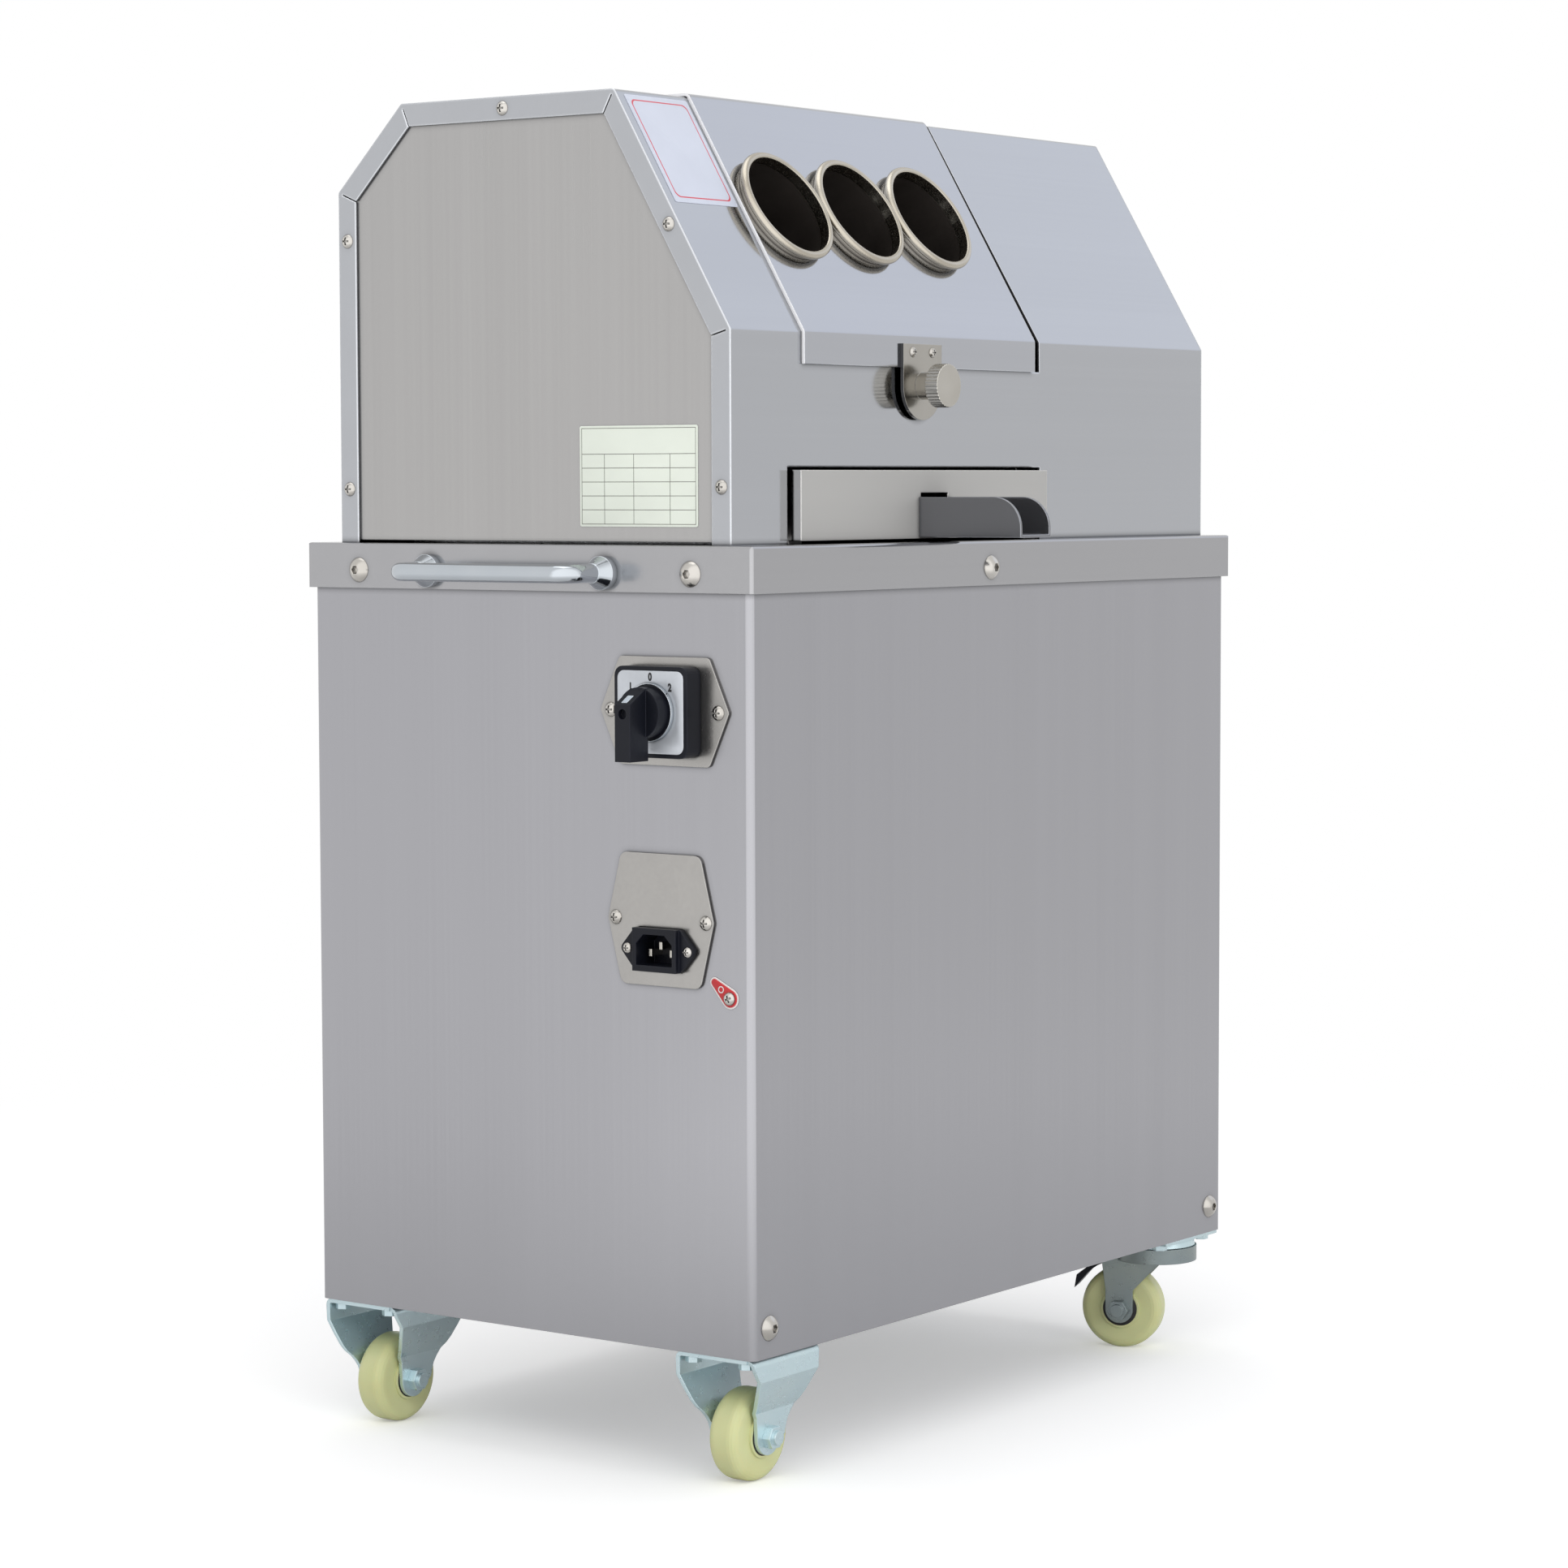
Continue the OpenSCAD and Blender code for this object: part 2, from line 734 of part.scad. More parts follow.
module cabinet_shell() color(steel) unit() difference() {
    translate([0, 0, floor_z]) linear_extrude(under_z - floor_z) difference() {
        polygon(round_rect(cabinet_w, cabinet_d, bend_r));
        polygon(round_rect(inside_w, inside_d, bend_r - wall_t));
        translate([return_w - cabinet_w / 2, 0]) square([cabinet_w - 2 * return_w, cabinet_d]);
    }
    skirt_bolt_places() bolt_hole();
    base_bolt_places() bolt_hole();
    back_screw_places() screw_hole();
    switch_screw_places() screw_hole();
    inlet_plate_screw_places() screw_hole();
    on_left(left_x - overrun, switch_y, switch_z)
        translate([-switch_back_w / 2 - slip, -switch_back_w / 2 - slip, -2 * overrun])
            cube([switch_back_w + 2 * slip, switch_back_w + 2 * slip, 2 * overrun]);
    on_left(left_x - overrun, inlet_y, inlet_z)
        translate([-inlet_block_half - slip, -inlet_h / 2 - slip, -2 * overrun])
            cube([2 * (inlet_block_half + slip), inlet_h + 2 * slip, 2 * overrun]);
    inlet_screw_places() screw_hole(small_screw_share);
}

module cabinet_back_panel() color(steel) unit() difference() {
    translate([-back_panel_w / 2, cabinet_d / 2, back_mid_z - back_panel_h / 2])
        cube([back_panel_w, wall_t, back_panel_h]);
    back_screw_places() screw_hole();
    for (i = [0:vent_cols - 1])
        for (j = [0:vent_rows - 1])
            translate([
                (i - (vent_cols - 1) / 2) * vent_pitch_x, cabinet_d / 2 - overrun,
                floor_z + cabinet_h * vent_drop_share - j * vent_pitch_z
            ]) vent_slot();
}

module vent_slot() {
    straight = vent_l - vent_w;
    translate([-straight / 2, 0, -vent_w / 2]) cube([straight, 2 * overrun, vent_w]);
    for (s = [-1, 1])
        translate([s * straight / 2, 2 * overrun, 0]) rotate([90, 0, 0])
            cylinder(h = 2 * overrun, r = vent_w / 2);
}

module base_plate() color(steel) unit() difference() {
    translate([0, 0, floor_z])
        linear_extrude(wall_t) polygon(round_rect(inside_w - 2 * slip, inside_d - 2 * slip, bend_r - wall_t));
    castor_bolt_holes();
}

module table_top() {
    edge_r = table_t;
    color(steel) unit() difference() {
        intersection() {
            translate([0, 0, skirt_z]) linear_extrude(skirt_h) polygon(round_rect(table_w, table_d, edge_r));
            along_x(-table_w / 2 - overrun, table_w + 2 * overrun)
                translate([0, table_z - skirt_h]) polygon(round_rect(table_d, 2 * skirt_h, edge_r));
            along_y(-table_d / 2 - overrun, table_d + 2 * overrun)
                translate([0, table_z - skirt_h]) polygon(round_rect(table_w, 2 * skirt_h, edge_r));
        }
        translate([table_t - table_w / 2, table_t - table_d / 2, skirt_z - overrun])
            cube([table_w - 2 * table_t, table_d - 2 * table_t, skirt_h - table_t + overrun]);
        translate([drive_x, worm_y, 0]) cylinder(h = table_z + overrun, r = motor_neck_r + slip);
        skirt_bolt_places() bolt_hole();
        on_left(-table_w / 2, handle_y - handle_span / 2, handle_z) handle_hole();
        on_left(-table_w / 2, handle_y + handle_span / 2, handle_z) handle_hole();
        on_right(table_w / 2, handle_y - handle_span / 2, handle_z) handle_hole();
        on_right(table_w / 2, handle_y + handle_span / 2, handle_z) handle_hole();
    }
}

// Head

module below_table_strip(front, back, h)
    translate([front, -overrun]) square([back - front, h + overrun]);

module head_wrap_outline() difference() {
    polygon(softened(head_outline, head_bend_r, 2));
    polygon(softened(inset(head_outline, head_t), head_bend_r - head_t, 2));
    below_table_strip(head_front + head_t, head_back - head_t, 2 * head_t);
}

module head_flange_outline() difference() {
    polygon(softened(head_outline, head_bend_r, 2));
    polygon(inset(head_outline, flange_w));
    below_table_strip(head_front + flange_w, head_back - flange_w, 2 * flange_w);
    inner = inset(head_outline, flange_w);
    rim = inset(head_outline, 2 * head_t);
    for (i = [2:5]) {
        run = inner[i] - rim[i];
        translate(rim[i]) rotate(atan2(run[1], run[0])) translate([0, -mitre_w / 2])
            square([norm(run) + mitre_w, mitre_w]);
    }
}

module head_cover() color(steel) unit() difference() {
    above_table() difference() {
        union() {
            along_x(-head_x, 2 * head_x) head_wrap_outline();
            for (x = [-head_x, head_x - head_t]) along_x(x, head_t) head_flange_outline();
        }
        translate([lid_x0 + lid_lap, head_front - overrun, opening_z])
            cube([lid_w - lid_lap + lid_seam, hinge_y - lid_tail - lid_lap - head_front + overrun, head_h]);
        along_y(head_front - overrun, slope_run + overrun) polygon([
            [lid_x1 - lid_lap, lip_z], [lid_x1 + lid_seam_low, lip_z],
            [lid_x1 + lid_seam, head_h + overrun], [lid_x1 - lid_lap, head_h + overrun]
        ]);
        translate([tray_x - tray_w / 2 - tray_side_gap, head_front - overrun, -overrun])
            cube([tray_w + 2 * tray_side_gap, 2 * overrun, tray_lift + tray_h + tray_top_gap + overrun]);
        translate([cheek_in_l + outlet_inset, head_back - overrun, outlet_z0])
            cube([cheek_in_r - cheek_in_l - 2 * outlet_inset, 2 * overrun, outlet_z1 - outlet_z0]);
        on_front(latch_x, head_front + overrun, latch_pin_z)
            cylinder(h = 2 * overrun, r = latch_pin_r + slip);
    }
    flange_screw_places() screw_hole();
}

module end_panel() difference() {
    above_table() along_x(head_t - head_x, head_t) difference() {
        polygon(inset(head_outline, head_t + slip));
        below_table_strip(head_front, head_back, 0);
    }
    flange_screw_places() screw_hole();
}

module head_left_panel() color(steel) unit() end_panel();

module head_right_panel() color(steel) unit() mirror([1, 0, 0]) end_panel();

module cover_screws() color(bright) unit() {
    flange_screw_places() pan_screw();
    back_screw_places() pan_screw();
    switch_screw_places() pan_screw();
    inlet_plate_screw_places() pan_screw();
    inlet_screw_places() pan_screw(small_screw_share);
}

module casing_bolts() color(bright) unit() {
    skirt_bolt_places() button_bolt();
    base_bolt_places() button_bolt();
}

// Handles

module handle_hole() translate([0, 0, -overrun]) cylinder(h = 2 * overrun, r = handle_r + slip);

// Bent bar with its feet on Z = 0 and a loose collar round each foot
module handle() {
    half = handle_span / 2;
    for (s = [-1, 1]) {
        translate([s * half, 0, -table_t])
            cylinder(h = handle_reach - handle_bend_r + table_t, r = handle_r);
        translate([s * (half - handle_bend_r), 0, handle_reach - handle_bend_r])
            rotate([90, 0, s > 0 ? 0 : 180])
                rotate_extrude(angle = 90) translate([handle_bend_r, 0]) circle(handle_r);
    }
    translate([handle_bend_r - half, 0, handle_reach])
        rotate([0, 90, 0]) cylinder(h = handle_span - 2 * handle_bend_r, r = handle_r);
    for (s = [-1, 1]) translate([s * half, 0, 0]) difference() {
        union() {
            cylinder(h = collar_h, r = collar_r);
            translate([0, 0, collar_h]) cylinder(h = neck_h, r1 = collar_r - slip, r2 = handle_r + 2 * slip);
        }
        translate([0, 0, -overrun]) cylinder(h = collar_h + neck_h + 2 * overrun, r = handle_r + slip);
    }
}

module left_handle() color(bright) unit() on_left(-table_w / 2, handle_y, handle_z) handle();

module right_handle() color(bright) unit() on_right(table_w / 2, handle_y, handle_z) handle();

// Switch

module switch_plate() color(steel) unit() difference() {
    on_left(left_x, switch_y, switch_z) linear_extrude(plate_t) difference() {
        polygon(softened(hexagon(switch_plate_half), plate_corner_r));
        square(switch_back_w + 2 * slip, center = true);
    }
    switch_screw_places() screw_hole();
}

module switch_body() {
    stem_h = switch_back_l + switch_depth;
    color(black) unit() on_left(left_x - plate_t, switch_y, switch_z) difference() {
        union() {
            linear_extrude(switch_depth) polygon(round_rect(switch_w, switch_w, switch_corner_r));
            translate([-switch_back_w / 2, -switch_back_w / 2, -switch_back_l])
                cube([switch_back_w, switch_back_w, switch_back_l + switch_depth / 2]);
            translate([0, 0, switch_depth]) cylinder(h = knob_ring_h, r = knob_ring_r);
        }
        translate([0, 0, -switch_back_l / 2]) cylinder(h = stem_h, r = knob_stem_r + run_fit);
    }
}

module switch_knob() {
    base = switch_depth + knob_ring_h + slip;
    bar_z = base + knob_disc_h;
    front = switch_depth + knob_reach;
    color(black) unit() on_left(left_x - plate_t, switch_y, switch_z) difference() {
        union() {
            cylinder(h = bar_z - knob_bar_sink, r = knob_stem_r);
            translate([0, 0, base]) cylinder(h = knob_disc_h, r = knob_disc_r);
            along_x(-knob_bar_w / 2, knob_bar_w) polygon([
                [-knob_bar_down, bar_z - knob_bar_sink], [knob_bar_up - slip, bar_z - knob_bar_sink],
                [knob_bar_up - slip, bar_z], [knob_bar_brow, front], [-knob_bar_down, front]
            ]);
        }
        translate([0, 0, front - knob_screw_d]) cylinder(h = knob_screw_d + overrun, r = knob_screw_r);
    }
}

// Power inlet

module inlet_plate() color(steel) unit() difference() {
    on_left(left_x, inlet_y, inlet_plate_z) linear_extrude(plate_t)
        polygon(softened(hexagon(inlet_plate_half), inlet_plate_r));
    on_left(left_x, inlet_y, inlet_z)
        translate([-inlet_block_half - slip, -inlet_h / 2 - slip, -overrun])
            cube([2 * (inlet_block_half + slip), inlet_h + 2 * slip, 2 * overrun]);
    inlet_plate_screw_places() screw_hole();
    inlet_screw_places() screw_hole(small_screw_share);
}

function cup_outline(w, h, c) = [
    [-w / 2, -h / 2], [w / 2, -h / 2],
    [w / 2, h / 2 - c], [w / 2 - c, h / 2], [c - w / 2, h / 2], [-w / 2, h / 2 - c]
];

module power_inlet() color(black) unit() difference() {
    on_left(left_x - plate_t, inlet_y, inlet_z) difference() {
        union() {
            linear_extrude(inlet_flange_t)
                polygon(softened(hexagon([inlet_w / 2, inlet_flat_half, inlet_h / 2]), plate_corner_r));
            translate([-inlet_block_half, -inlet_h / 2, -inlet_back_l])
                cube([2 * inlet_block_half, inlet_h, inlet_back_l + inlet_block_t]);
        }
        translate([0, 0, inlet_block_t - inlet_cup_d])
            linear_extrude(inlet_cup_d + overrun)
                polygon(cup_outline(inlet_cup[0], inlet_cup[1], inlet_cup_chamfer));
    }
    inlet_screw_places() screw_hole(small_screw_share);
}

module inlet_pins() color(bright) unit() on_left(left_x - plate_t, inlet_y, inlet_z)
    for (p = [[-inlet_pin_half, -inlet_pin_shift], [0, inlet_pin_shift], [inlet_pin_half, -inlet_pin_shift]])
        translate([p[0] - inlet_pin[1] / 2, p[1] - inlet_pin[2] / 2, inlet_block_t - inlet_cup_d])
            cube([inlet_pin[1], inlet_pin[2], inlet_pin[0] + inlet_pin[1]]);

// Crushing mill

axes = [top_axis, front_axis, rear_axis];
bush_r = shaft_r + bush_wall;

cheek_outline = [
    [head_front + cheek_foot_front, 0], [head_back - cheek_foot_back, 0],
    [head_back - cheek_foot_back, cheek_shoulder_back_z], [cheek_top_back, cheek_top_z],
    [cheek_top_front, cheek_top_z], [head_front + cheek_foot_front, cheek_shoulder_front_z]
];

module cheek(x) above_table() difference() {
    along_x(x, cheek_t) polygon(softened(cheek_outline, cheek_corner_r, 2));
    for (a = axes) bar_x(a, x - overrun, x + cheek_t + overrun, bush_r + run_fit);
    for (p = tie_places) bar_x(p, x - overrun, x + cheek_t + overrun, tie_r + run_fit);
}

module left_cheek() color(steel) unit() cheek(cheek_in_l - cheek_t);

module right_cheek() color(steel) unit() cheek(cheek_in_r);

module bush(place, x, inner_side) {
    flange_x = inner_side > 0 ? x + cheek_t : x - bush_flange_t;
    difference() {
        union() {
            bar_x(place, x, x + cheek_t, bush_r);
            bar_x(place, flange_x, flange_x + bush_flange_t, bush_flange_r);
        }
        bar_x(place, x - overrun, x + cheek_t + overrun, shaft_r + run_fit);
    }
}

module roller_bushes() color(bronze) unit() above_table() for (a = axes) {
    bush(a, cheek_in_l - cheek_t, 1);
    bush(a, cheek_in_r, -1);
}

module tie_bars() color(steel) unit() above_table()
    for (p = tie_places) bar_x(p, cheek_in_l - cheek_t, cheek_in_r + cheek_t, tie_r);

module turner_bar() color(steel) unit() above_table()
    along_x(cheek_in_l, cheek_in_r - cheek_in_l) difference() {
        translate([top_axis[0] - turner_w / 2, top_axis[1] - roller_r - turner_h])
            square([turner_w, turner_h]);
        for (a = axes) translate(a) circle(roller_r + turner_gap);
    }

module bagasse_chute() {
    tip = rear_axis + (roller_r + chute_tip_gap) * turned(chute_tip_a);
    end = [head_back - head_t - slip, chute_end_z];
    color(steel) unit() above_table() along_x(cheek_in_l, cheek_in_r - cheek_in_l)
        polygon([tip, tip + [chute_t, 0], end, end - [0, chute_t], tip - [0, chute_t]]);
}

// Roller with vee grooves round it and a shaft from x0 to x1
module roller(place, x0, x1) {
    pitch = (roller_x1 - roller_x0) / groove_count;
    low = roller_r - groove_depth;
    teeth = [for (i = [0:groove_count - 1])
        each [[roller_r, roller_x0 + i * pitch], [low, roller_x0 + (2 * i + 1) * pitch / 2]]];
    above_table() translate([0, place[0], place[1]]) rotate([0, 90, 0]) rotate_extrude()
        polygon(concat(
            [[0, x0], [shaft_r, x0], [shaft_r, roller_x0]],
            teeth,
            [[roller_r, roller_x1], [shaft_r, roller_x1], [shaft_r, x1], [0, x1]]
        ));
}

shaft_x0 = cheek_in_l - cheek_t - shaft_end;
gear_shaft_x1 = gear_x + gear_w + gear_hub_l;

module top_roller() color(steel) unit() roller(top_axis, shaft_x0, drive_x0 + drive_l + shaft_end);

module front_roller() color(steel) unit() roller(front_axis, shaft_x0, gear_shaft_x1);

module rear_roller() color(steel) unit() roller(rear_axis, shaft_x0, gear_shaft_x1);

// Spur gears

pitch_r = mesh_d / 2;
base_r = pitch_r * cos(pressure_a);
tip_r = pitch_r + gear_module;
root_r = pitch_r - gear_root_share * gear_module;
tooth_pitch_a = 360 / gear_teeth;

function involute_a(r) = let (a = acos(base_r / r)) tan(a) * 180 / PI - a;
function tooth_half_a(r) =
    tooth_pitch_a / 4 - gear_backlash / pitch_r * 45 / PI + involute_a(pitch_r) - involute_a(r);

flank_radii = [for (i = [0:flank_steps]) base_r + (tip_r - base_r) * i / flank_steps];

function tooth(a) = concat(
    [root_r * turned(a - tooth_half_a(base_r))],
    [for (r = flank_radii) r * turned(a - tooth_half_a(r))],
    [for (i = [flank_steps:-1:0]) flank_radii[i] * turned(a + tooth_half_a(flank_radii[i]))],
    [root_r * turned(a + tooth_half_a(base_r))]
);

// A gear whose tooth points to the angle start, seen as [y, z]
module gear(place, start) above_table() difference() {
    union() {
        along_x(gear_x, gear_w) translate(place)
            polygon([for (i = [0:gear_teeth - 1]) each tooth(start + i * tooth_pitch_a)]);
        bar_x(place, gear_x + gear_w, gear_x + gear_w + gear_hub_l, gear_hub_r);
    }
    bar_x(place, gear_x - overrun, gear_x + gear_w + gear_hub_l + overrun, shaft_r + slip / 4);
}

function heading(from, to) = atan2(to[1] - from[1], to[0] - from[0]);

front_heading = heading(top_axis, front_axis);
rear_heading = heading(top_axis, rear_axis);
rear_phase = front_heading - rear_heading;

module top_gear() color(dark_steel) unit() gear(top_axis, front_heading);

module front_gear() color(dark_steel) unit() gear(front_axis, front_heading + 180 + tooth_pitch_a / 2);

module rear_gear() color(dark_steel) unit()
    gear(rear_axis, rear_heading + 180 - rear_phase + tooth_pitch_a / 2);

// Drive

module gearbox() color(cast_grey) unit() above_table() difference() {
    union() {
        bar_x(top_axis, drive_x0 + case_cover_t, drive_x0 + drive_l - case_cover_t, case_r);
        bar_x(top_axis, drive_x0, drive_x0 + drive_l, case_cover_r);
        translate([drive_x, worm_y, drive_flange_t / 2])
            cylinder(h = worm_case_top - worm_cap_h - drive_flange_t / 2, r = worm_case_r);
        translate([drive_x, worm_y, 0]) cylinder(h = worm_case_top, r = worm_cap_r);
        translate([drive_x, worm_y, 0]) cylinder(h = drive_flange_t, r = drive_flange_r);
    }
    bar_x(top_axis, drive_x0 - overrun, drive_x0 + drive_l + overrun, shaft_r + run_fit);
}

module motor() {
    top = under_z - drive_plate_t;
    body_top = top - motor_bell_l;
    color(cast_grey) unit() translate([drive_x, worm_y, 0]) {
        translate([0, 0, top - motor_bell_l]) cylinder(h = motor_bell_l, r = motor_r + motor_fin_h);
        translate([0, 0, top - motor_bell_l / 2])
            cylinder(h = motor_bell_l / 2 + drive_plate_t + table_t, r = motor_neck_r);
        translate([0, 0, body_top - motor_l]) cylinder(h = motor_l + motor_bell_l / 2, r = motor_r);
        for (i = [0:motor_fins - 1])
            rotate([0, 0, (2 * i + 1) * 180 / motor_fins])
                translate([motor_r - motor_fin_h, -motor_fin_w / 2, body_top - motor_l])
                    cube([2 * motor_fin_h, motor_fin_w, motor_l + motor_bell_l / 2]);
        translate([0, 0, body_top - motor_l - motor_cowl_l])
            cylinder(h = motor_cowl_l + motor_bell_l / 2, r = motor_r + motor_fin_h);
        translate([-motor_r, 0, body_top - motor_l / 2]) cube(terminal_box, center = true);
    }
}

// Castors, drawn with the plate's top on Z = 0 and the middle of the plate on the Z axis

axle_z = wheel_d / 2 - castor_h;
leg_top = castor_plate_d / 2;

// One leg of a rigid fork seen from the front as [x, z]: flared on one side, slim on the other
module rigid_leg_outline() {
    half = castor_plate_w / 2;
    toe = rigid_foot_r * cos(45);
    polygon(concat(
        [[-half, 0]],
        [for (p = leg_slim) [-p[0], -p[1]]],
        [[-rigid_foot_r, axle_z], [toe, axle_z - toe]],
        [for (p = backwards(leg_flare)) [p[0], -p[1]]],
        [[half, -castor_t], [half, 0]]
    ));
    translate([0, axle_z]) circle(rigid_foot_r);
}

// One face of a leg seen from the side: bent down from the plate, then drawn in to the wheel
function leg_face(y_top, y_low, r) = concat(
    arc([leg_top - leg_bend_r, -leg_bend_r], r, 90, 0),
    [[y_top, -leg_upright], [y_low, axle_z + leg_drawn_rise], [y_low, axle_z - 2 * rigid_foot_r]]
);

function backwards(p) = [for (i = [len(p) - 1:-1:0]) p[i]];

module plate_bolt_holes()
    for (bx = [-1, 1])
        for (by = [-1, 1])
            translate([bx * castor_bolt_span[0] / 2, by * castor_bolt_span[1] / 2, -castor_t - overrun])
                cylinder(h = castor_t + 2 * overrun, r = castor_bolt_r + slip);

module axle_hole(x)
    translate([x, castor_plate_d, axle_z]) rotate([90, 0, 0])
        cylinder(h = 2 * castor_plate_d, r = axle_r + slip);

module rigid_fork() {
    inner = leg_face(leg_top - castor_t, leg_in, leg_bend_r - castor_t);
    outer = leg_face(leg_top, leg_in + castor_t, leg_bend_r);
    flat_half = leg_top - leg_bend_r;
    difference() {
        union() {
            for (turn = [0, 180])
                rotate([0, 0, turn]) intersection() {
                    scale([1, -1, 1]) along_x(-castor_plate_w, 2 * castor_plate_w)
                        polygon(concat(inner, backwards(outer)));
                    along_y(-castor_plate_d, 2 * castor_plate_d) rigid_leg_outline();
                }
            translate([-castor_plate_w / 2, -flat_half, -castor_t])
                cube([castor_plate_w, 2 * flat_half, castor_t]);
        }
        axle_hole(0);
        plate_bolt_holes();
    }
}

module wheel() translate([0, 0, axle_z]) rotate([90, 0, 0]) rotate_extrude()
    difference() {
        union() {
            polygon(round_rect(wheel_d, wheel_w, wheel_edge_r));
            translate([0, -wheel_w / 2 - hub_proud]) square([hub_r, wheel_w + 2 * hub_proud]);
        }
        translate([-wheel_d, -wheel_d]) square([wheel_d + axle_r + run_fit, 2 * wheel_d]);
    }

// Bolt through the wheel with a nut outside each leg
module axle() {
    half = leg_in + castor_t;
    translate([0, half + axle_nut_h + axle_end, axle_z]) rotate([90, 0, 0])
        cylinder(h = 2 * (half + axle_nut_h + axle_end), r = axle_r);
    for (s = [-1, 1])
        translate([0, s * half, axle_z]) rotate([-90 * s, 0, 0])
            cylinder(h = axle_nut_h, r = axle_nut_r, $fn = 6);
}

module at_castor(sx, sy) unit() translate([sx * castor_x, sy * castor_y, floor_z]) children();

module front_left_fork() color(zinc) at_castor(-1, -1) rigid_fork();

module rear_left_fork() color(zinc) at_castor(-1, 1) rigid_fork();

module rigid_axles() color(zinc) {
    at_castor(-1, -1) axle();
    at_castor(-1, 1) axle();
}

module front_left_wheel() color(cream) at_castor(-1, -1) wheel();

module rear_left_wheel() color(cream) at_castor(-1, 1) wheel();

// Fixed half of a swivel castor: plate, ball race, king pin and the nut under the fork
module swivel_plate() {
    race_z = -castor_t - race_h;
    nut_top = race_z - race_gap - castor_t - race_gap;
    difference() {
        union() {
            translate([-castor_plate_w / 2, -castor_plate_d / 2, -castor_t])
                cube([castor_plate_w, castor_plate_d, castor_t]);
            translate([0, 0, race_z]) cylinder(h = race_h + castor_t / 2, r1 = race_r, r2 = race_top_r);
            translate([0, 0, nut_top - king_nut_h / 2])
                cylinder(h = king_nut_h / 2 - nut_top - castor_t / 2, r = king_r);
            translate([0, 0, nut_top - king_nut_h]) cylinder(h = king_nut_h, r = king_nut_r);
        }
        plate_bolt_holes();
    }
}

// Everything that turns with a swivel castor is drawn with the trail along local +X
module trailing() rotate([0, 0, trail_turn]) children();

crown_top = -castor_t - race_h - race_gap;
crown_low = crown_top - crown_h;
fork_back = castor_trail + fork_back_r;

// Side of a swivel leg as [x, z], with x along the trail
module swivel_leg_outline() union() {
    polygon([
        [-fork_chin, crown_top - castor_t / 2], [fork_back, crown_top - castor_t / 2], [fork_back, crown_low],
        [castor_trail + leg_foot_r, axle_z + fork_heel_rise], [castor_trail + leg_foot_r, axle_z],
        [castor_trail - leg_foot_r, axle_z], [castor_trail - leg_foot_r, axle_z + fork_heel_rise],
        [-fork_chin, crown_low]
    ]);
    translate([castor_trail, axle_z]) circle(leg_foot_r);
}

pedal_pin = [castor_trail, axle_z] + (wheel_d / 2 + pedal_pin_out) * turned(pedal_pin_a);

module swivel_fork() {
    difference() {
        union() {
            difference() {
                translate([0, 0, crown_low]) cylinder(h = crown_h, r = crown_r);
                translate([0, 0, crown_low - overrun])
                    cylinder(h = crown_h - castor_t + overrun, r = crown_r - castor_t);
                translate([crown_mouth, -leg_in, crown_low - overrun])
                    cube([crown_r, 2 * leg_in, crown_h - castor_t + overrun]);
            }
            for (s = [-1, 1])
                along_y(s > 0 ? leg_in : -leg_in - castor_t, castor_t) swivel_leg_outline();
        }
        translate([0, 0, crown_low - overrun]) cylinder(h = crown_h + 2 * overrun, r = king_r + run_fit);
        axle_hole(castor_trail);
    }
    translate([pedal_pin[0], leg_in + castor_t / 2, pedal_pin[1]]) rotate([90, 0, 0])
        cylinder(h = 2 * leg_in + castor_t, r = pedal_pin_r);
}

// Brake pedal: a strip bent round the wheel from a barrel on its pin, with a turned-up tip
module brake_pedal() {
    near = wheel_d / 2 + pedal_clear;
    far = near + pedal_t;
    hub = [castor_trail, axle_z];
    difference() {
        along_y(-pedal_w / 2, pedal_w) union() {
            polygon(concat(
                arc(hub, near, pedal_root_a, pedal_bend_a),
                [hub + pedal_tip_r * turned(pedal_tip_a), hub + (far + pedal_t / 2) * turned(pedal_knee_a)],
                arc(hub, far, pedal_bend_a, pedal_root_a)
            ));
            translate(pedal_pin) circle(pedal_barrel_r);
        }
        along_y(-pedal_w, 2 * pedal_w) translate(pedal_pin) circle(pedal_pin_r + run_fit);
    }
}

module front_right_castor_plate() color(zinc) at_castor(1, -1) swivel_plate();

module rear_right_castor_plate() color(zinc) at_castor(1, 1) swivel_plate();

module front_right_fork() color(zinc) at_castor(1, -1) trailing() swivel_fork();

module rear_right_fork() color(zinc) at_castor(1, 1) trailing() swivel_fork();

module front_right_wheel() color(cream) at_castor(1, -1) trailing() translate([castor_trail, 0, 0]) wheel();

module rear_right_wheel() color(cream) at_castor(1, 1) trailing() translate([castor_trail, 0, 0]) wheel();

module front_right_axle() color(zinc) at_castor(1, -1) trailing() translate([castor_trail, 0, 0]) axle();

module rear_right_axle() color(zinc) at_castor(1, 1) trailing() translate([castor_trail, 0, 0]) axle();

module front_right_pedal() color(black) at_castor(1, -1) trailing() brake_pedal();

module rear_right_pedal() color(black) at_castor(1, 1) trailing() brake_pedal();

module castor_bolts() color(zinc) unit() castor_bolt_places() {
    translate([0, 0, -castor_t - castor_bolt_head_h])
        cylinder(h = castor_bolt_head_h, r = castor_bolt_head_r, $fn = 6);
    translate([0, 0, -castor_t - castor_bolt_head_h / 2])
        cylinder(h = castor_t + castor_bolt_len, r = castor_bolt_r);
}

// Lid

module lid_outline() intersection() {
    difference() {
        polygon(softened(inset(head_outline, -lid_out), head_bend_r + lid_out));
        polygon(softened(inset(head_outline, -lid_gap), head_bend_r + lid_gap));
    }
    translate([head_front - 2 * overrun, lip_z])
        square([hinge_y - lid_tail - head_front + 2 * overrun, head_h]);
}

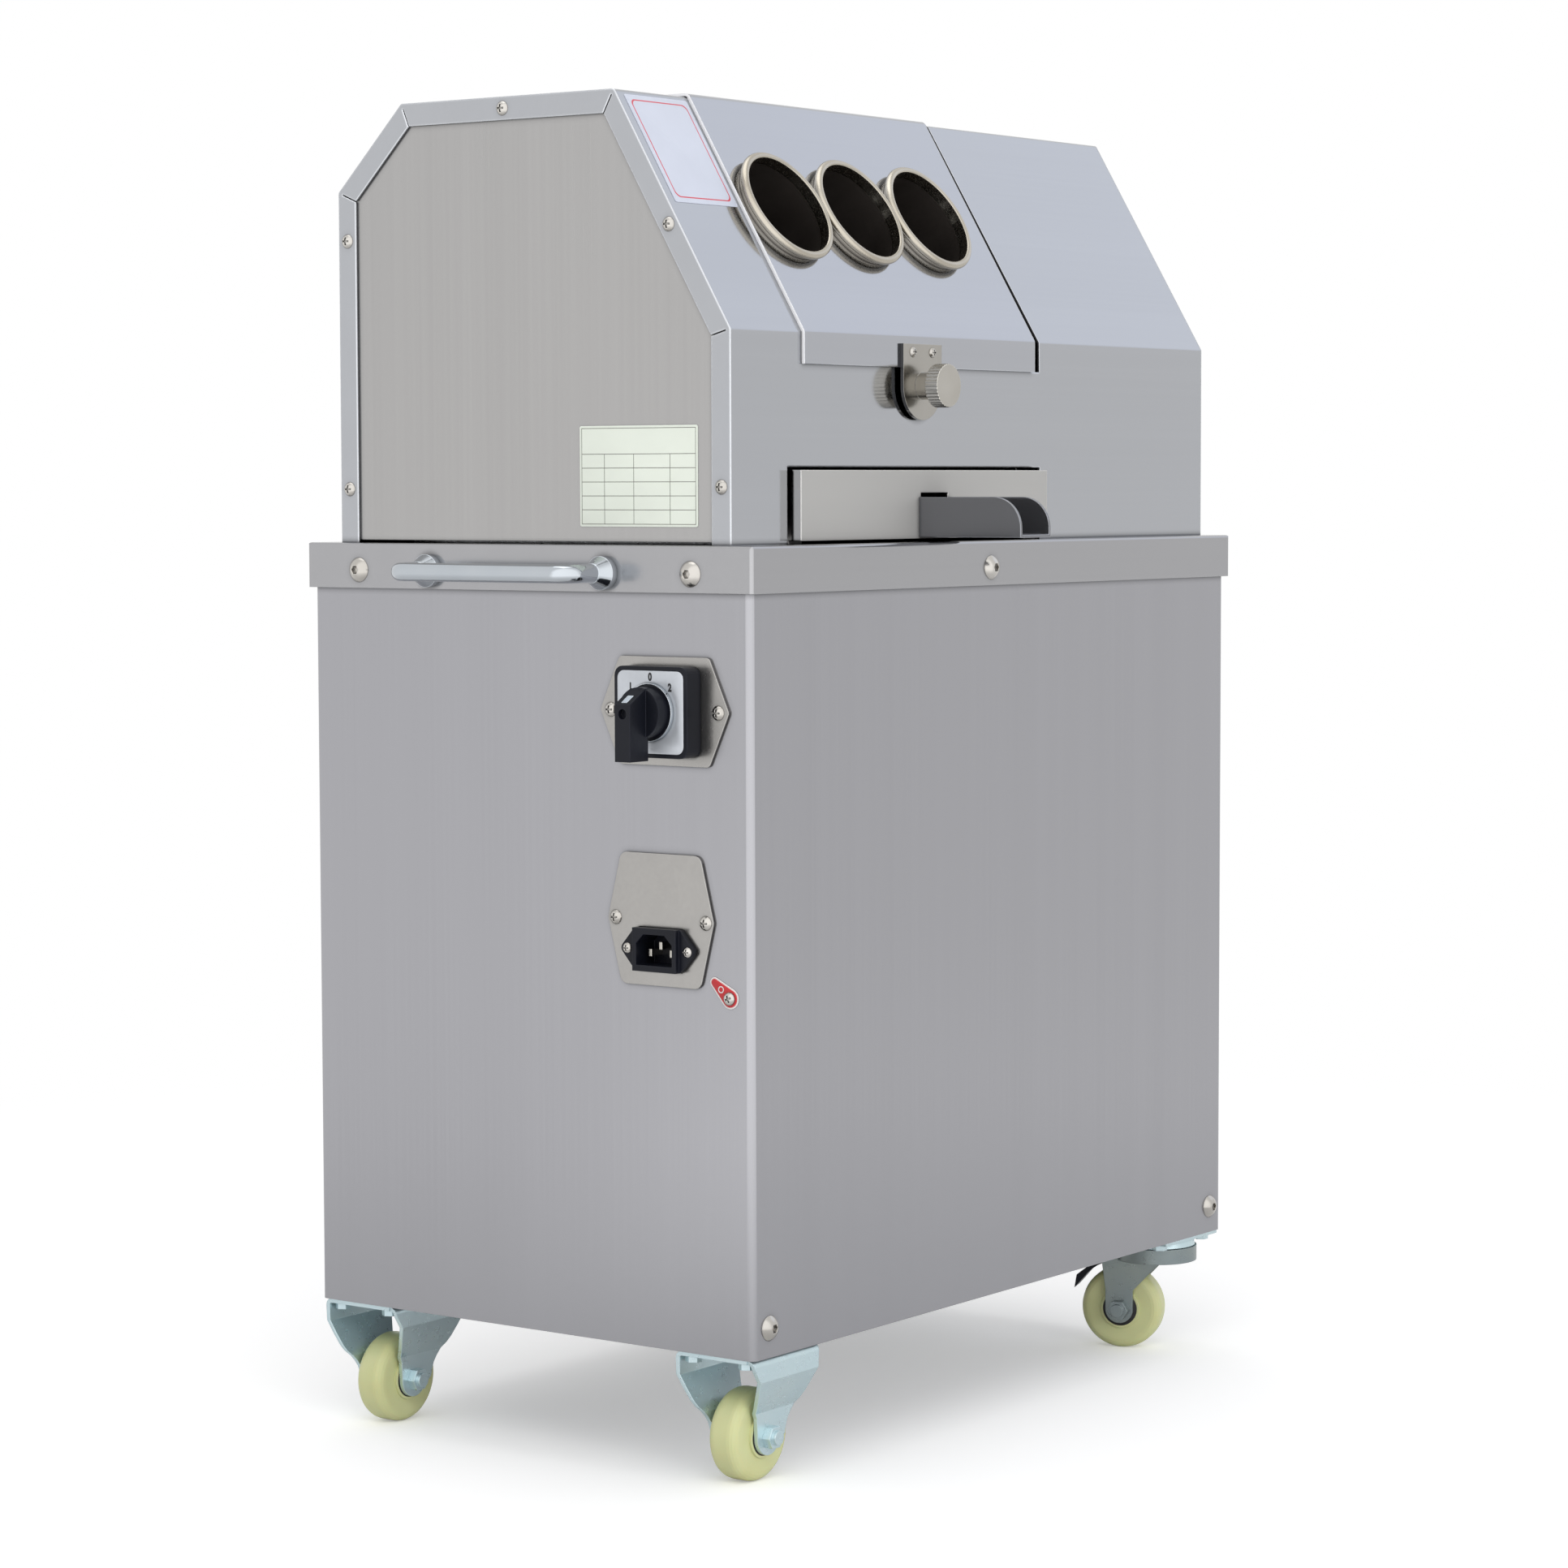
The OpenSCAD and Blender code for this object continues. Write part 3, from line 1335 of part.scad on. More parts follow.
// Local +Z runs out of the slope along a tube's axis
module at_tube(i) above_table()
    translate([lid_x0 + tube_first + i * tube_pitch, tube_spot[0], tube_spot[1]])
        rotate([slope_a, 0, 0]) children();

module lid() color(steel) unit() difference() {
    above_table() along_x(lid_x0, lid_w) lid_outline();
    for (i = [0:2])
        at_tube(i) translate([0, 0, -overrun]) cylinder(h = lid_out + 2 * overrun, r = tube_or + slip);
    latch_screw_places() screw_hole(small_screw_share);
    above_table() translate([latch_x, head_front, latch_pin_z]) rotate([90, 0, 0])
        cylinder(h = 2 * overrun, r = latch_pin_r + slip);
}

module feed_tube(i) at_tube(i) rotate_extrude() difference() {
    union() {
        translate([0, -tube_depth]) square([tube_or, tube_depth + tube_rise]);
        translate([rim_or - rim_r, tube_rise]) circle(rim_r);
    }
    translate([-tube_id, -2 * tube_depth]) square([tube_id + tube_id / 2, 4 * tube_depth]);
}

module left_feed_tube() color(bright) unit() feed_tube(0);

module middle_feed_tube() color(bright) unit() feed_tube(1);

module right_feed_tube() color(bright) unit() feed_tube(2);

// Piano hinge: knuckles of one leaf fill the odd or the even places along the pin

knuckle_l = lid_w / knuckle_count;

module leaf_outline(side, z_low) {
    difference() {
        union() {
            translate([side > 0 ? 0 : -leaf_w, z_low - hinge_z]) square([leaf_w, leaf_t]);
            circle(knuckle_r);
        }
        circle(hinge_pin_r + run_fit);
    }
}

module hinge_leaf(side, z_low, first) {
    above_table() translate([0, hinge_y, hinge_z]) {
        for (i = [first:2:knuckle_count - 1])
            along_x(lid_x0 + i * knuckle_l + knuckle_gap / 2, knuckle_l - knuckle_gap)
                leaf_outline(side, z_low);
        along_x(lid_x0 + knuckle_gap / 2, lid_w - knuckle_gap)
            translate([side > 0 ? knuckle_r + knuckle_gap : -leaf_w, z_low - hinge_z])
                square([leaf_w - knuckle_r - knuckle_gap, leaf_t]);
    }
}

module fixed_hinge_leaf() color(steel) unit() hinge_leaf(1, head_h, 0);

module lid_hinge_leaf() color(steel) unit() hinge_leaf(-1, head_h + lid_out, 1);

module hinge_pin() color(bright) unit() above_table() bar_x([hinge_y, hinge_z], lid_x0, lid_x1, hinge_pin_r);

// Latch

module latch_screw_places()
    above_table()
        for (s = [-1, 1])
            on_front(latch_x + s * latch_screw_span / 2, latch_y - latch_t, latch_top_z - latch_screw_drop)
                children();

module latch_bracket() color(steel) unit() difference() {
    above_table() union() {
        along_y(latch_y - latch_t, latch_t) union() {
            translate([latch_x - latch_w / 2, latch_pin_z]) square([latch_w, latch_top_z - latch_pin_z]);
            translate([latch_x, latch_pin_z]) circle(latch_w / 2);
        }
        on_front(latch_x, latch_y - latch_t / 2, latch_pin_z)
            cylinder(h = latch_collar_l + latch_t / 2, r = latch_collar_r);
    }
    above_table() on_front(latch_x, latch_y + overrun, latch_pin_z)
        cylinder(h = latch_collar_l + latch_t + 2 * overrun, r = latch_pin_r + run_fit);
    latch_screw_places() screw_hole(small_screw_share);
}

module latch_screws() color(bright) unit() latch_screw_places() pan_screw(small_screw_share, latch_t + lid_t);

module latch_plunger() {
    tip_y = head_front - latch_tip_gap;
    knob_y = latch_y - latch_t - latch_collar_l - latch_knob_gap;
    knob_r = latch_knob_d / 2;
    color(bright) unit() above_table() {
        on_front(latch_x, tip_y, latch_pin_z)
            cylinder(h = tip_y - knob_y + latch_knob_l / 2, r = latch_pin_r);
        on_front(latch_x, knob_y, latch_pin_z) linear_extrude(latch_knob_l)
            polygon([for (i = [0:2 * knurl_count - 1])
                knob_r * (i % 2 == 0 ? 1 : knurl_share) * turned(i * 180 / knurl_count)]);
    }
}

// Juice tray

module juice_tray() color(steel) unit() above_table() difference() {
    union() {
        translate([tray_x - tray_w / 2, tray_front, tray_lift]) cube([tray_w, tray_len, tray_h]);
        for (s = [-1, 1])
            translate([tray_x + s * (tray_w - tray_runner_w) / 2 - tray_runner_w / 2, head_front + head_t, 0])
                cube([tray_runner_w, tray_len - tray_proud - head_t, tray_lift + tray_t / 2]);
    }
    translate([tray_x - tray_w / 2 + tray_t, tray_front + tray_t, tray_lift + tray_t])
        cube([tray_w - 2 * tray_t, tray_len - 2 * tray_t, tray_h]);
    translate([spout_x - spout_w / 2 + tray_t, tray_front - overrun, tray_lift + tray_t + spout_lift])
        cube([spout_w - 2 * tray_t, 2 * overrun, spout_h + spout_slot_rise - tray_t]);
}

module juice_spout() {
    low = tray_lift + spout_lift;
    color(steel) unit() above_table() difference() {
        along_x(spout_x - spout_w / 2, spout_w) union() {
            translate([spout_tip, low]) square([spout_len, spout_h - spout_corner_r]);
            translate([spout_tip + spout_corner_r, low]) square([spout_len - spout_corner_r, spout_h]);
            translate([spout_tip + spout_corner_r, low + spout_h - spout_corner_r]) circle(spout_corner_r);
        }
        translate([spout_x - spout_w / 2 + tray_t, spout_tip - overrun, low + tray_t])
            cube([spout_w - 2 * tray_t, spout_len + 2 * overrun, spout_h]);
        translate([spout_x - spout_w, spout_tip - overrun, low - spout_corner_r])
            cube([2 * spout_w, spout_len, spout_corner_r]);
    }
}

welded_frame();
cabinet_shell();
cabinet_back_panel();
base_plate();
table_top();
head_cover();
head_left_panel();
head_right_panel();
cover_screws();
casing_bolts();
left_handle();
right_handle();
switch_plate();
switch_body();
inlet_plate();
power_inlet();
inlet_pins();
left_cheek();
right_cheek();
roller_bushes();
tie_bars();
turner_bar();
bagasse_chute();
gearbox();
motor();
front_left_fork();
rear_left_fork();
rigid_axles();
front_right_castor_plate();
rear_right_castor_plate();
castor_bolts();
fixed_hinge_leaf();
hinge_pin();
lid();
lid_hinge_leaf();
left_feed_tube();
middle_feed_tube();
right_feed_tube();
latch_bracket();
latch_screws();
latch_plunger();
juice_tray();
juice_spout();
switch_knob();
top_roller();
front_roller();
rear_roller();
top_gear();
front_gear();
rear_gear();
front_left_wheel();
rear_left_wheel();
front_right_wheel();
rear_right_wheel();
front_right_fork();
rear_right_fork();
front_right_axle();
rear_right_axle();
front_right_pedal();
rear_right_pedal();
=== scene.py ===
"""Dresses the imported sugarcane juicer: finishes, trim, studio light and camera, in metres."""

import logging
import math
from dataclasses import dataclass
from enum import Enum
from functools import cache, cached_property
from typing import Iterable, Optional, Sequence, Union

import bmesh
import bpy
from mathutils import Euler, Matrix, Vector


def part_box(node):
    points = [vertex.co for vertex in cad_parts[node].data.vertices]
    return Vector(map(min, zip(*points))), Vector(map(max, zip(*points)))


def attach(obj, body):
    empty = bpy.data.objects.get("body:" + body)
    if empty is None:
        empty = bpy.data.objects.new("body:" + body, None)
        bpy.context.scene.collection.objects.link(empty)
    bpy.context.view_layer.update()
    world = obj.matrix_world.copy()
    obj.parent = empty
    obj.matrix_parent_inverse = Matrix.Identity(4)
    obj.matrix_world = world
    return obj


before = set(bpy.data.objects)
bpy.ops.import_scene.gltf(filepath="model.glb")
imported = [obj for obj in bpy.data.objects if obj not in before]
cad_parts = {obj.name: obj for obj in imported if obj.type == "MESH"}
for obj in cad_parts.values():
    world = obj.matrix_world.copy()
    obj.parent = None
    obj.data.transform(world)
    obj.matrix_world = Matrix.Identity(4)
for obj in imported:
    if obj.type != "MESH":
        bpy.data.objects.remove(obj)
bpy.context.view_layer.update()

LOG = logging.getLogger("juicer")

Node = bpy.types.Node
Socket = bpy.types.NodeSocket
Value = Union[Socket, float, tuple]
Colour = tuple[float, float, float]
Point = tuple[float, float]
Span = tuple[float, float]
Spot = tuple[float, float, float]

NUMBER, VECTOR = "NodeSocketFloat", "NodeSocketVector"
WHITE: Colour = (1.0, 1.0, 1.0)
NOISE_CORE: Span = (0.35, 0.65)
NOISE_REACH: Span = (0.3, 0.7)
SMOOTH_ANGLE = math.radians(35)


def shade(red: float, green: float, blue: float) -> Colour:
    """Turns a colour as a screen shows it into the linear one that shaders take, by the sRGB curve.

    Args:
        red: Red, 0 to 255.
        green: Green, 0 to 255.
        blue: Blue, 0 to 255.

    Returns:
        The linear colour.
    """
    parts = [part / 255 for part in (red, green, blue)]
    return tuple(p / 12.92 if p <= 0.04045 else ((p + 0.055) / 1.055) ** 2.4 for p in parts)


def scaled(colour: Colour, factor: float) -> Colour:
    """Gives a colour made darker, or lighter up to white."""
    return tuple(min(1.0, part * factor) for part in colour)


class Grain(Enum):
    """Which way a sheet was brushed: how often the grain changes in a metre of X, Y and Z."""

    UPRIGHT = (420.0, 420.0, 2.2)
    LENGTHWISE = (2.2, 420.0, 420.0)


class Graph:
    """A shader node tree with short ways to add, feed and join its nodes."""

    def __init__(self, tree: bpy.types.NodeTree) -> None:
        """Empties the tree and keeps it.

        Args:
            tree: The tree to fill.
        """
        self.tree = tree
        tree.nodes.clear()

    def add(self, kind: str, inputs: Optional[dict[str, Value]] = None, **settings: object) -> Node:
        """Adds a node.

        Args:
            kind: The node's type name.
            inputs: What feeds its sockets, by socket name.
            settings: Values of the node's own properties.

        Returns:
            The node.
        """
        node = self.tree.nodes.new(kind)
        for key, value in settings.items():
            setattr(node, key, value)
        for key, value in (inputs or {}).items():
            self.feed(node.inputs[key], value)
        return node

    def feed(self, socket: Socket, value: Value) -> None:
        """Links a socket or sets its constant.

        Args:
            socket: The input to feed.
            value: Another node's output, a number or a colour.
        """
        if isinstance(value, bpy.types.NodeSocket):
            self.tree.links.new(value, socket)
        elif isinstance(value, tuple) and len(value) == 3 and socket.type == "RGBA":
            socket.default_value = (*value, 1.0)
        else:
            socket.default_value = value

    def joined(self, kind: str, operation: str, first: Value, second: Value) -> Node:
        """Adds a node that does one sum on its first two inputs.

        Args:
            kind: The node's type name.
            operation: The sum.
            first: The first input.
            second: The second input.

        Returns:
            The node.
        """
        node = self.add(kind, operation=operation)
        self.feed(node.inputs[0], first)
        self.feed(node.inputs[1], second)
        return node

    def sum(self, operation: str, first: Value, second: Value = 0.0) -> Socket:
        """Does one sum on two numbers."""
        return self.joined("ShaderNodeMath", operation, first, second).outputs[0]

    def vector(self, operation: str, first: Value, second: Value = (0.0, 0.0, 0.0)) -> Socket:
        """Does one sum on two vectors.

        Args:
            operation: The Vector Math node's operation.
            first: The first vector.
            second: The second vector.

        Returns:
            The result's socket, a number for a dot product or a length.
        """
        node = self.joined("ShaderNodeVectorMath", operation, first, second)
        return node.outputs["Value" if operation in ("DOT_PRODUCT", "LENGTH") else "Vector"]

    def spread(self, value: Value, low: Value, high: Value, start: float = 0.0, end: float = 1.0) -> Socket:
        """Maps a value from start..end to low..high, held at both ends.

        Args:
            value: The value to map.
            low: What start becomes.
            high: What end becomes.
            start: Where the range starts.
            end: Where the range ends.

        Returns:
            The mapped value's socket.
        """
        sizes = {"Value": value, "From Min": start, "From Max": end, "To Min": low, "To Max": high}
        return self.add("ShaderNodeMapRange", sizes).outputs["Result"]

    def blend(self, share: Value, first: Value, second: Value) -> Socket:
        """Mixes two colours.

        Args:
            share: How much of the second colour shows.
            first: The colour at 0.
            second: The colour at 1.

        Returns:
            The mixed colour's socket.
        """
        node = self.add("ShaderNodeMix", data_type="RGBA")
        self.feed(node.inputs["Factor"], share)
        self.feed(node.inputs[6], first)
        self.feed(node.inputs[7], second)
        return node.outputs[2]

    def noise(self, vector: Value, scale: Value, detail: float = 2.0) -> Socket:
        """Adds a noise pattern.

        Args:
            vector: Where the pattern is read.
            scale: How often it changes.
            detail: How many finer layers it has.

        Returns:
            The pattern's value, 0 to 1.
        """
        sizes = {"Vector": vector, "Scale": scale, "Detail": detail}
        return self.add("ShaderNodeTexNoise", sizes).outputs["Fac"]

    def where(self) -> Socket:
        """Gives the place on the object in its own metres."""
        return self.add("ShaderNodeTexCoord").outputs["Object"]

    def facing(self) -> Socket:
        """Gives the way that a face looks."""
        return self.add("ShaderNodeNewGeometry").outputs["Normal"]

    def split(self, vector: Value) -> tuple[Socket, ...]:
        """Splits a vector into its X, Y and Z."""
        return tuple(self.add("ShaderNodeSeparateXYZ", {"Vector": vector}).outputs)


def new_material(name: str) -> tuple[bpy.types.Material, Graph]:
    """Starts a material.

    Args:
        name: The material's name.

    Returns:
        The material and its empty nodes.
    """
    made = bpy.data.materials.new(name)
    made.use_nodes = True
    return made, Graph(made.node_tree)


def new_group(name: str, inputs: dict[str, str], outputs: dict[str, str]) -> tuple[Graph, Node, Node]:
    """Starts a shader group.

    Args:
        name: The group's name.
        inputs: Socket types by input name.
        outputs: Socket types by output name.

    Returns:
        The group's nodes, the node of its inputs and the node of its outputs.
    """
    tree = bpy.data.node_groups.new(name, "ShaderNodeTree")
    for way, sockets in (("INPUT", inputs), ("OUTPUT", outputs)):
        for key, kind in sockets.items():
            tree.interface.new_socket(key, in_out=way, socket_type=kind)
    graph = Graph(tree)
    return graph, graph.add("NodeGroupInput"), graph.add("NodeGroupOutput")


class Effects:
    """The shader groups that several finishes share, each built once."""

    STREAK_SHARE = 0.09
    SMUDGES_PER_METRE = 6.0
    PATCHES_PER_METRE = 34.0
    ROUNDED_SPAN: Span = (0.86, 0.995)
    OPEN_SPAN: Span = (0.25, 0.95)

    @staticmethod
    @cache
    def brushed() -> bpy.types.NodeTree:
        """Builds the brushed grain: fine lines, broad streaks and hand smudges.

        Returns:
            The group's tree.
        """
        graph, given, out = new_group("brushed_grain", {"Place": VECTOR, "Stretch": VECTOR},
                                      {"Lines": NUMBER, "Streaks": NUMBER, "Smudges": NUMBER})
        place = given.outputs["Place"]
        fine = graph.vector("MULTIPLY", place, given.outputs["Stretch"])
        broad = graph.vector("MULTIPLY", fine, (Effects.STREAK_SHARE,) * 3)
        graph.feed(out.inputs["Lines"], graph.noise(fine, 1.0, 3.0))
        graph.feed(out.inputs["Streaks"], graph.noise(broad, 1.0))
        graph.feed(out.inputs["Smudges"], graph.noise(place, Effects.SMUDGES_PER_METRE, 3.0))
        return graph.tree

    @staticmethod
    @cache
    def edges() -> bpy.types.NodeTree:
        """Builds softened edges: a rounded normal and a mask of the edge itself, where a highlight is
        painted.

        Returns:
            The group's tree.
        """
        graph, given, out = new_group("soft_edges", {"Radius": NUMBER}, {"Normal": VECTOR, "Edge Highlight": NUMBER})
        soft = graph.add("ShaderNodeBevel", {"Radius": given.outputs["Radius"]}, samples=6).outputs[0]
        flatness = graph.vector("DOT_PRODUCT", soft, graph.facing())
        graph.feed(out.inputs["Normal"], soft)
        graph.feed(out.inputs["Edge Highlight"], graph.spread(flatness, 1.0, 0.0, *Effects.ROUNDED_SPAN))
        return graph.tree

    @staticmethod
    @cache
    def crevice_shading() -> bpy.types.NodeTree:
        """Builds painted shade where pieces meet: a mask that grows as a place is closed in.

        Returns:
            The group's tree.
        """
        graph, given, out = new_group("painted_crevice_shade", {"Reach": NUMBER}, {"Seam": NUMBER})
        around = graph.add("ShaderNodeAmbientOcclusion", {"Distance": given.outputs["Reach"]}, samples=8)
        graph.feed(out.inputs["Seam"], graph.spread(around.outputs["AO"], 1.0, 0.0, *Effects.OPEN_SPAN))
        return graph.tree

    @staticmethod
    @cache
    def mottle() -> bpy.types.NodeTree:
        """Builds a moulded or plated skin: fine pits and slow patches of tone.

        Returns:
            The group's tree.
        """
        graph, given, out = new_group("skin_mottle", {"Place": VECTOR, "Fineness": NUMBER},
                                      {"Pits": NUMBER, "Patches": NUMBER})
        place = given.outputs["Place"]
        slow = graph.noise(place, Effects.PATCHES_PER_METRE)
        graph.feed(out.inputs["Pits"], graph.noise(place, given.outputs["Fineness"]))
        graph.feed(out.inputs["Patches"], graph.spread(slow, 0.0, 1.0, *NOISE_REACH))
        return graph.tree


@dataclass(frozen=True)
class HeadSlope:
    """The head's sloping front, its places and directions given as depth and height."""

    front: float = 0.1125
    run: float = 0.076

    @cached_property
    def fold(self) -> Vector:
        """Gives where the upright front folds into the slope."""
        return Vector((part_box("head_cover")[0].y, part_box("table_top")[1].z + self.front))

    @cached_property
    def ridge(self) -> Vector:
        """Gives where the slope folds into the top."""
        low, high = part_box("head_cover")
        return Vector((low.y + self.run, high.z))

    @cached_property
    def along(self) -> Vector:
        """Gives the way up the slope."""
        return (self.ridge - self.fold).normalized()

    @cached_property
    def out(self) -> Vector:
        """Gives the way straight out of the slope."""
        return Vector((-self.along.y, self.along.x))


SLOPE = HeadSlope()
TUBE_WAY: Spot = (0.0, *SLOPE.out)


@dataclass(frozen=True)
class Finish:
    """A surface's look. Each kind of finish adds what its real surface shows, and some paint light and shade
    into the colour.
    """

    name: str
    tint: Colour
    roughness: float = 0.3
    edge_radius: float = 0.0006

    def material(self) -> bpy.types.Material:
        """Gives the finish's material, and builds it the first time.

        Returns:
            The material.
        """
        known = bpy.data.materials.get(self.name)
        if known is not None:
            return known
        made, graph = new_material(self.name)
        shader = graph.add("ShaderNodeBsdfPrincipled")
        graph.add("ShaderNodeOutputMaterial", {"Surface": shader.outputs[0]})
        self.paint(graph, shader)
        return made

    def paint(self, graph: Graph, shader: Node) -> None:
        """Joins the finish's nodes to its shader.

        Args:
            graph: The material's nodes.
            shader: The Principled BSDF to feed.
        """
        raise NotImplementedError

    def soften(self, graph: Graph) -> tuple[Socket, Socket]:
        """Gives the rounded normal and the mask of the edges, where a highlight is painted."""
        node = graph.add("ShaderNodeGroup", {"Radius": self.edge_radius}, node_tree=Effects.edges())
        return node.outputs["Normal"], node.outputs["Edge Highlight"]

    def occlusion_shade(self, graph: Graph, reach: float) -> Socket:
        """Gives the mask of painted shade: the places that are closed in within a reach."""
        node = graph.add("ShaderNodeGroup", {"Reach": reach}, node_tree=Effects.crevice_shading())
        return node.outputs["Seam"]

    def emboss(self, graph: Graph, shader: Node, relief: dict[str, Value]) -> None:
        """Raises a fine relief on the shader's normal.

        Args:
            graph: The material's nodes.
            shader: The Principled BSDF to feed.
            relief: What feeds the bump, by socket name.
        """
        graph.feed(shader.inputs["Normal"], graph.add("ShaderNodeBump", relief).outputs[0])

    def overlay(self, graph: Graph, shader: Node, mask: Socket, colour: Colour) -> None:
        """Lays a colour over the one that feeds the shader.

        Args:
            graph: The material's nodes.
            shader: The Principled BSDF to feed.
            mask: How much of the colour shows.
            colour: The colour on top.
        """
        base = shader.inputs["Base Color"]
        graph.feed(base, graph.blend(mask, base.links[0].from_socket, colour))


@dataclass(frozen=True)
class BrushedSheet(Finish):
    """Satin stainless sheet: a brushed grain, painted highlights on folds and edges, painted shade in laps
    and, where asked, a hazy front and painted faces that look left.

    The painted faces are those that look left, beyond a place in X and Y: painted shade where their tint is
    dark, a painted highlight where it is light.
    """

    grain: Grain = Grain.UPRIGHT
    streak: float = 0.014
    line_share: float = 0.4
    line_gloss: float = 0.015
    smudge_gloss: Span = (-0.012, 0.02)
    bump: float = 0.004
    bump_depth: float = 0.0004
    edge_highlight_gain: float = 1.25
    front_haze: float = 0.0
    front_span: Span = (0.6, 0.8)
    # Painted shade where pieces meet: its colour, its reach, and the tilt from which faces turned up go
    # without it.
    shade_tint: Colour = (0.03, 0.03, 0.032)
    shade_reach: float = 0.004
    shade_tilt: float = 0.3
    # A painted tint on the faces that look left: painted shade where it is dark, a painted highlight where it
    # is light.
    left_shading_from: Optional[Point] = None
    left_shading_tint: Colour = (0.03, 0.03, 0.032)
    left_shading_tilt: float = -0.7
    metallic: float = 1.0

    def paint(self, graph: Graph, shader: Node) -> None:
        """Joins the grain to the colour, the roughness and the normal.

        Args:
            graph: The material's nodes.
            shader: The Principled BSDF to feed.
        """
        grain = {"Place": graph.where(), "Stretch": self.grain.value}
        lines, streaks, smudges = graph.add("ShaderNodeGroup", grain, node_tree=Effects.brushed()).outputs
        normal, edge = self.soften(graph)
        dark, light = (scaled(self.tint, 1 + way * self.streak) for way in (-1, 1))
        tone = graph.sum("ADD", graph.sum("MULTIPLY", lines, self.line_share),
                         graph.sum("MULTIPLY", streaks, 1 - self.line_share))
        body = graph.blend(graph.spread(tone, 0.0, 1.0, *NOISE_CORE), dark, light)
        # Painted highlight: the edges are lightened by the edge highlight gain.
        graph.feed(shader.inputs["Base Color"], graph.blend(edge, body, scaled(self.tint, self.edge_highlight_gain)))
        gloss = (self.roughness - self.line_gloss, self.roughness + self.line_gloss)
        rough = graph.sum("ADD", graph.spread(lines, *gloss, *NOISE_REACH),
                          graph.spread(smudges, *self.smudge_gloss, *NOISE_CORE))
        metallic: Value = self.metallic
        across, deep, high = graph.split(graph.facing())
        # Painted shade in the laps where pieces meet, on faces that are not turned up.
        if self.shade_reach:
            upright = graph.sum("LESS_THAN", high, self.shade_tilt)
            painted_shade = graph.sum("MULTIPLY", self.occlusion_shade(graph, self.shade_reach), upright)
            self.overlay(graph, shader, painted_shade, self.shade_tint)
        if self.front_haze:
            front = graph.spread(graph.sum("ABSOLUTE", deep), 0.0, self.front_haze, *self.front_span)
            rough = graph.sum("ADD", rough, front)
            metallic = graph.sum("SUBTRACT", metallic, front)
        # Painted tint on the faces that look left, which also lose their metal: painted shade where dark,
        # painted highlight where light.
        if self.left_shading_from is not None:
            cut = graph.sum("LESS_THAN", across, self.left_shading_tilt)
            for place, least in zip(graph.split(graph.where()), self.left_shading_from):
                cut = graph.sum("MULTIPLY", cut, graph.sum("GREATER_THAN", place, least))
            self.overlay(graph, shader, cut, self.left_shading_tint)
            metallic = graph.sum("MULTIPLY", metallic, graph.sum("SUBTRACT", 1.0, cut))
        graph.feed(shader.inputs["Metallic"], metallic)
        graph.feed(shader.inputs["Roughness"], rough)
        self.emboss(graph, shader, {"Strength": self.bump, "Distance": self.bump_depth, "Height": lines,
                                    "Normal": normal})


@dataclass(frozen=True)
class Mottled(Finish):
    """A skin with slow patches of a second tone, fine pits and a painted highlight on its edges."""

    second: Colour = (0.5, 0.5, 0.5)
    fineness: float = 900.0
    bump: float = 0.03
    bump_depth: float = 0.0005
    pit_gloss: Span = (0.85, 1.2)
    edge_highlight_gain: float = 1.35

    def paint(self, graph: Graph, shader: Node) -> None:
        """Joins the patches and pits to the colour, the roughness and the normal.

        Args:
            graph: The material's nodes.
            shader: The Principled BSDF to feed.
        """
        skin = {"Place": graph.where(), "Fineness": self.fineness}
        pits, patches = graph.add("ShaderNodeGroup", skin, node_tree=Effects.mottle()).outputs
        normal, edge = self.soften(graph)
        body = graph.blend(patches, self.tint, self.second)
        # Painted highlight: the edges are lightened by the edge highlight gain.
        graph.feed(shader.inputs["Base Color"], graph.blend(edge, body, scaled(self.tint, self.edge_highlight_gain)))
        gloss = (self.roughness * share for share in self.pit_gloss)
        graph.feed(shader.inputs["Roughness"], graph.spread(pits, *gloss, *NOISE_REACH))
        self.emboss(graph, shader, {"Strength": self.bump, "Distance": self.bump_depth, "Height": pits,
                                    "Normal": normal})


@dataclass(frozen=True)
class PlatedMetal(Mottled):
    """Bare, plated or cast metal, with painted shade in its recesses where asked."""

    metallic: float = 1.0
    recess_shade_reach: float = 0.0
    recess: Colour = (0.02, 0.02, 0.02)

    def paint(self, graph: Graph, shader: Node) -> None:
        """Joins the skin and paints shade into its recesses.

        Args:
            graph: The material's nodes.
            shader: The Principled BSDF to feed.
        """
        super().paint(graph, shader)
        shader.inputs["Metallic"].default_value = self.metallic
        # Painted shade in the recesses, in the recess colour.
        if self.recess_shade_reach:
            self.overlay(graph, shader, self.occlusion_shade(graph, self.recess_shade_reach), self.recess)


@dataclass(frozen=True)
class MouthMetal(PlatedMetal):
    """A tube's metal: plain tint at the rim, with painted shade below it, inside and out."""

    rim_low: float = 0.0
    rim_high: float = 0.0
    under_rim_shade: Colour = (0.01, 0.01, 0.01)
    under_rim_roughness: float = 0.5

    def paint(self, graph: Graph, shader: Node) -> None:
        """Joins the plated metal and paints shade under the rim, where it is rougher too.

        Args:
            graph: The material's nodes.
            shader: The Principled BSDF to feed.
        """
        super().paint(graph, shader)
        # Painted shade from just under the rim downwards, inside and out.
        height = graph.vector("DOT_PRODUCT", graph.where(), TUBE_WAY)
        shaded_below_rim = graph.spread(height, 1.0, 0.0, self.rim_low, self.rim_high)
        self.overlay(graph, shader, shaded_below_rim, self.under_rim_shade)
        smooth = shader.inputs["Roughness"].links[0].from_socket
        dull = graph.sum("MULTIPLY", shaded_below_rim, self.under_rim_roughness)
        graph.feed(shader.inputs["Roughness"], graph.sum("MAXIMUM", smooth, dull))


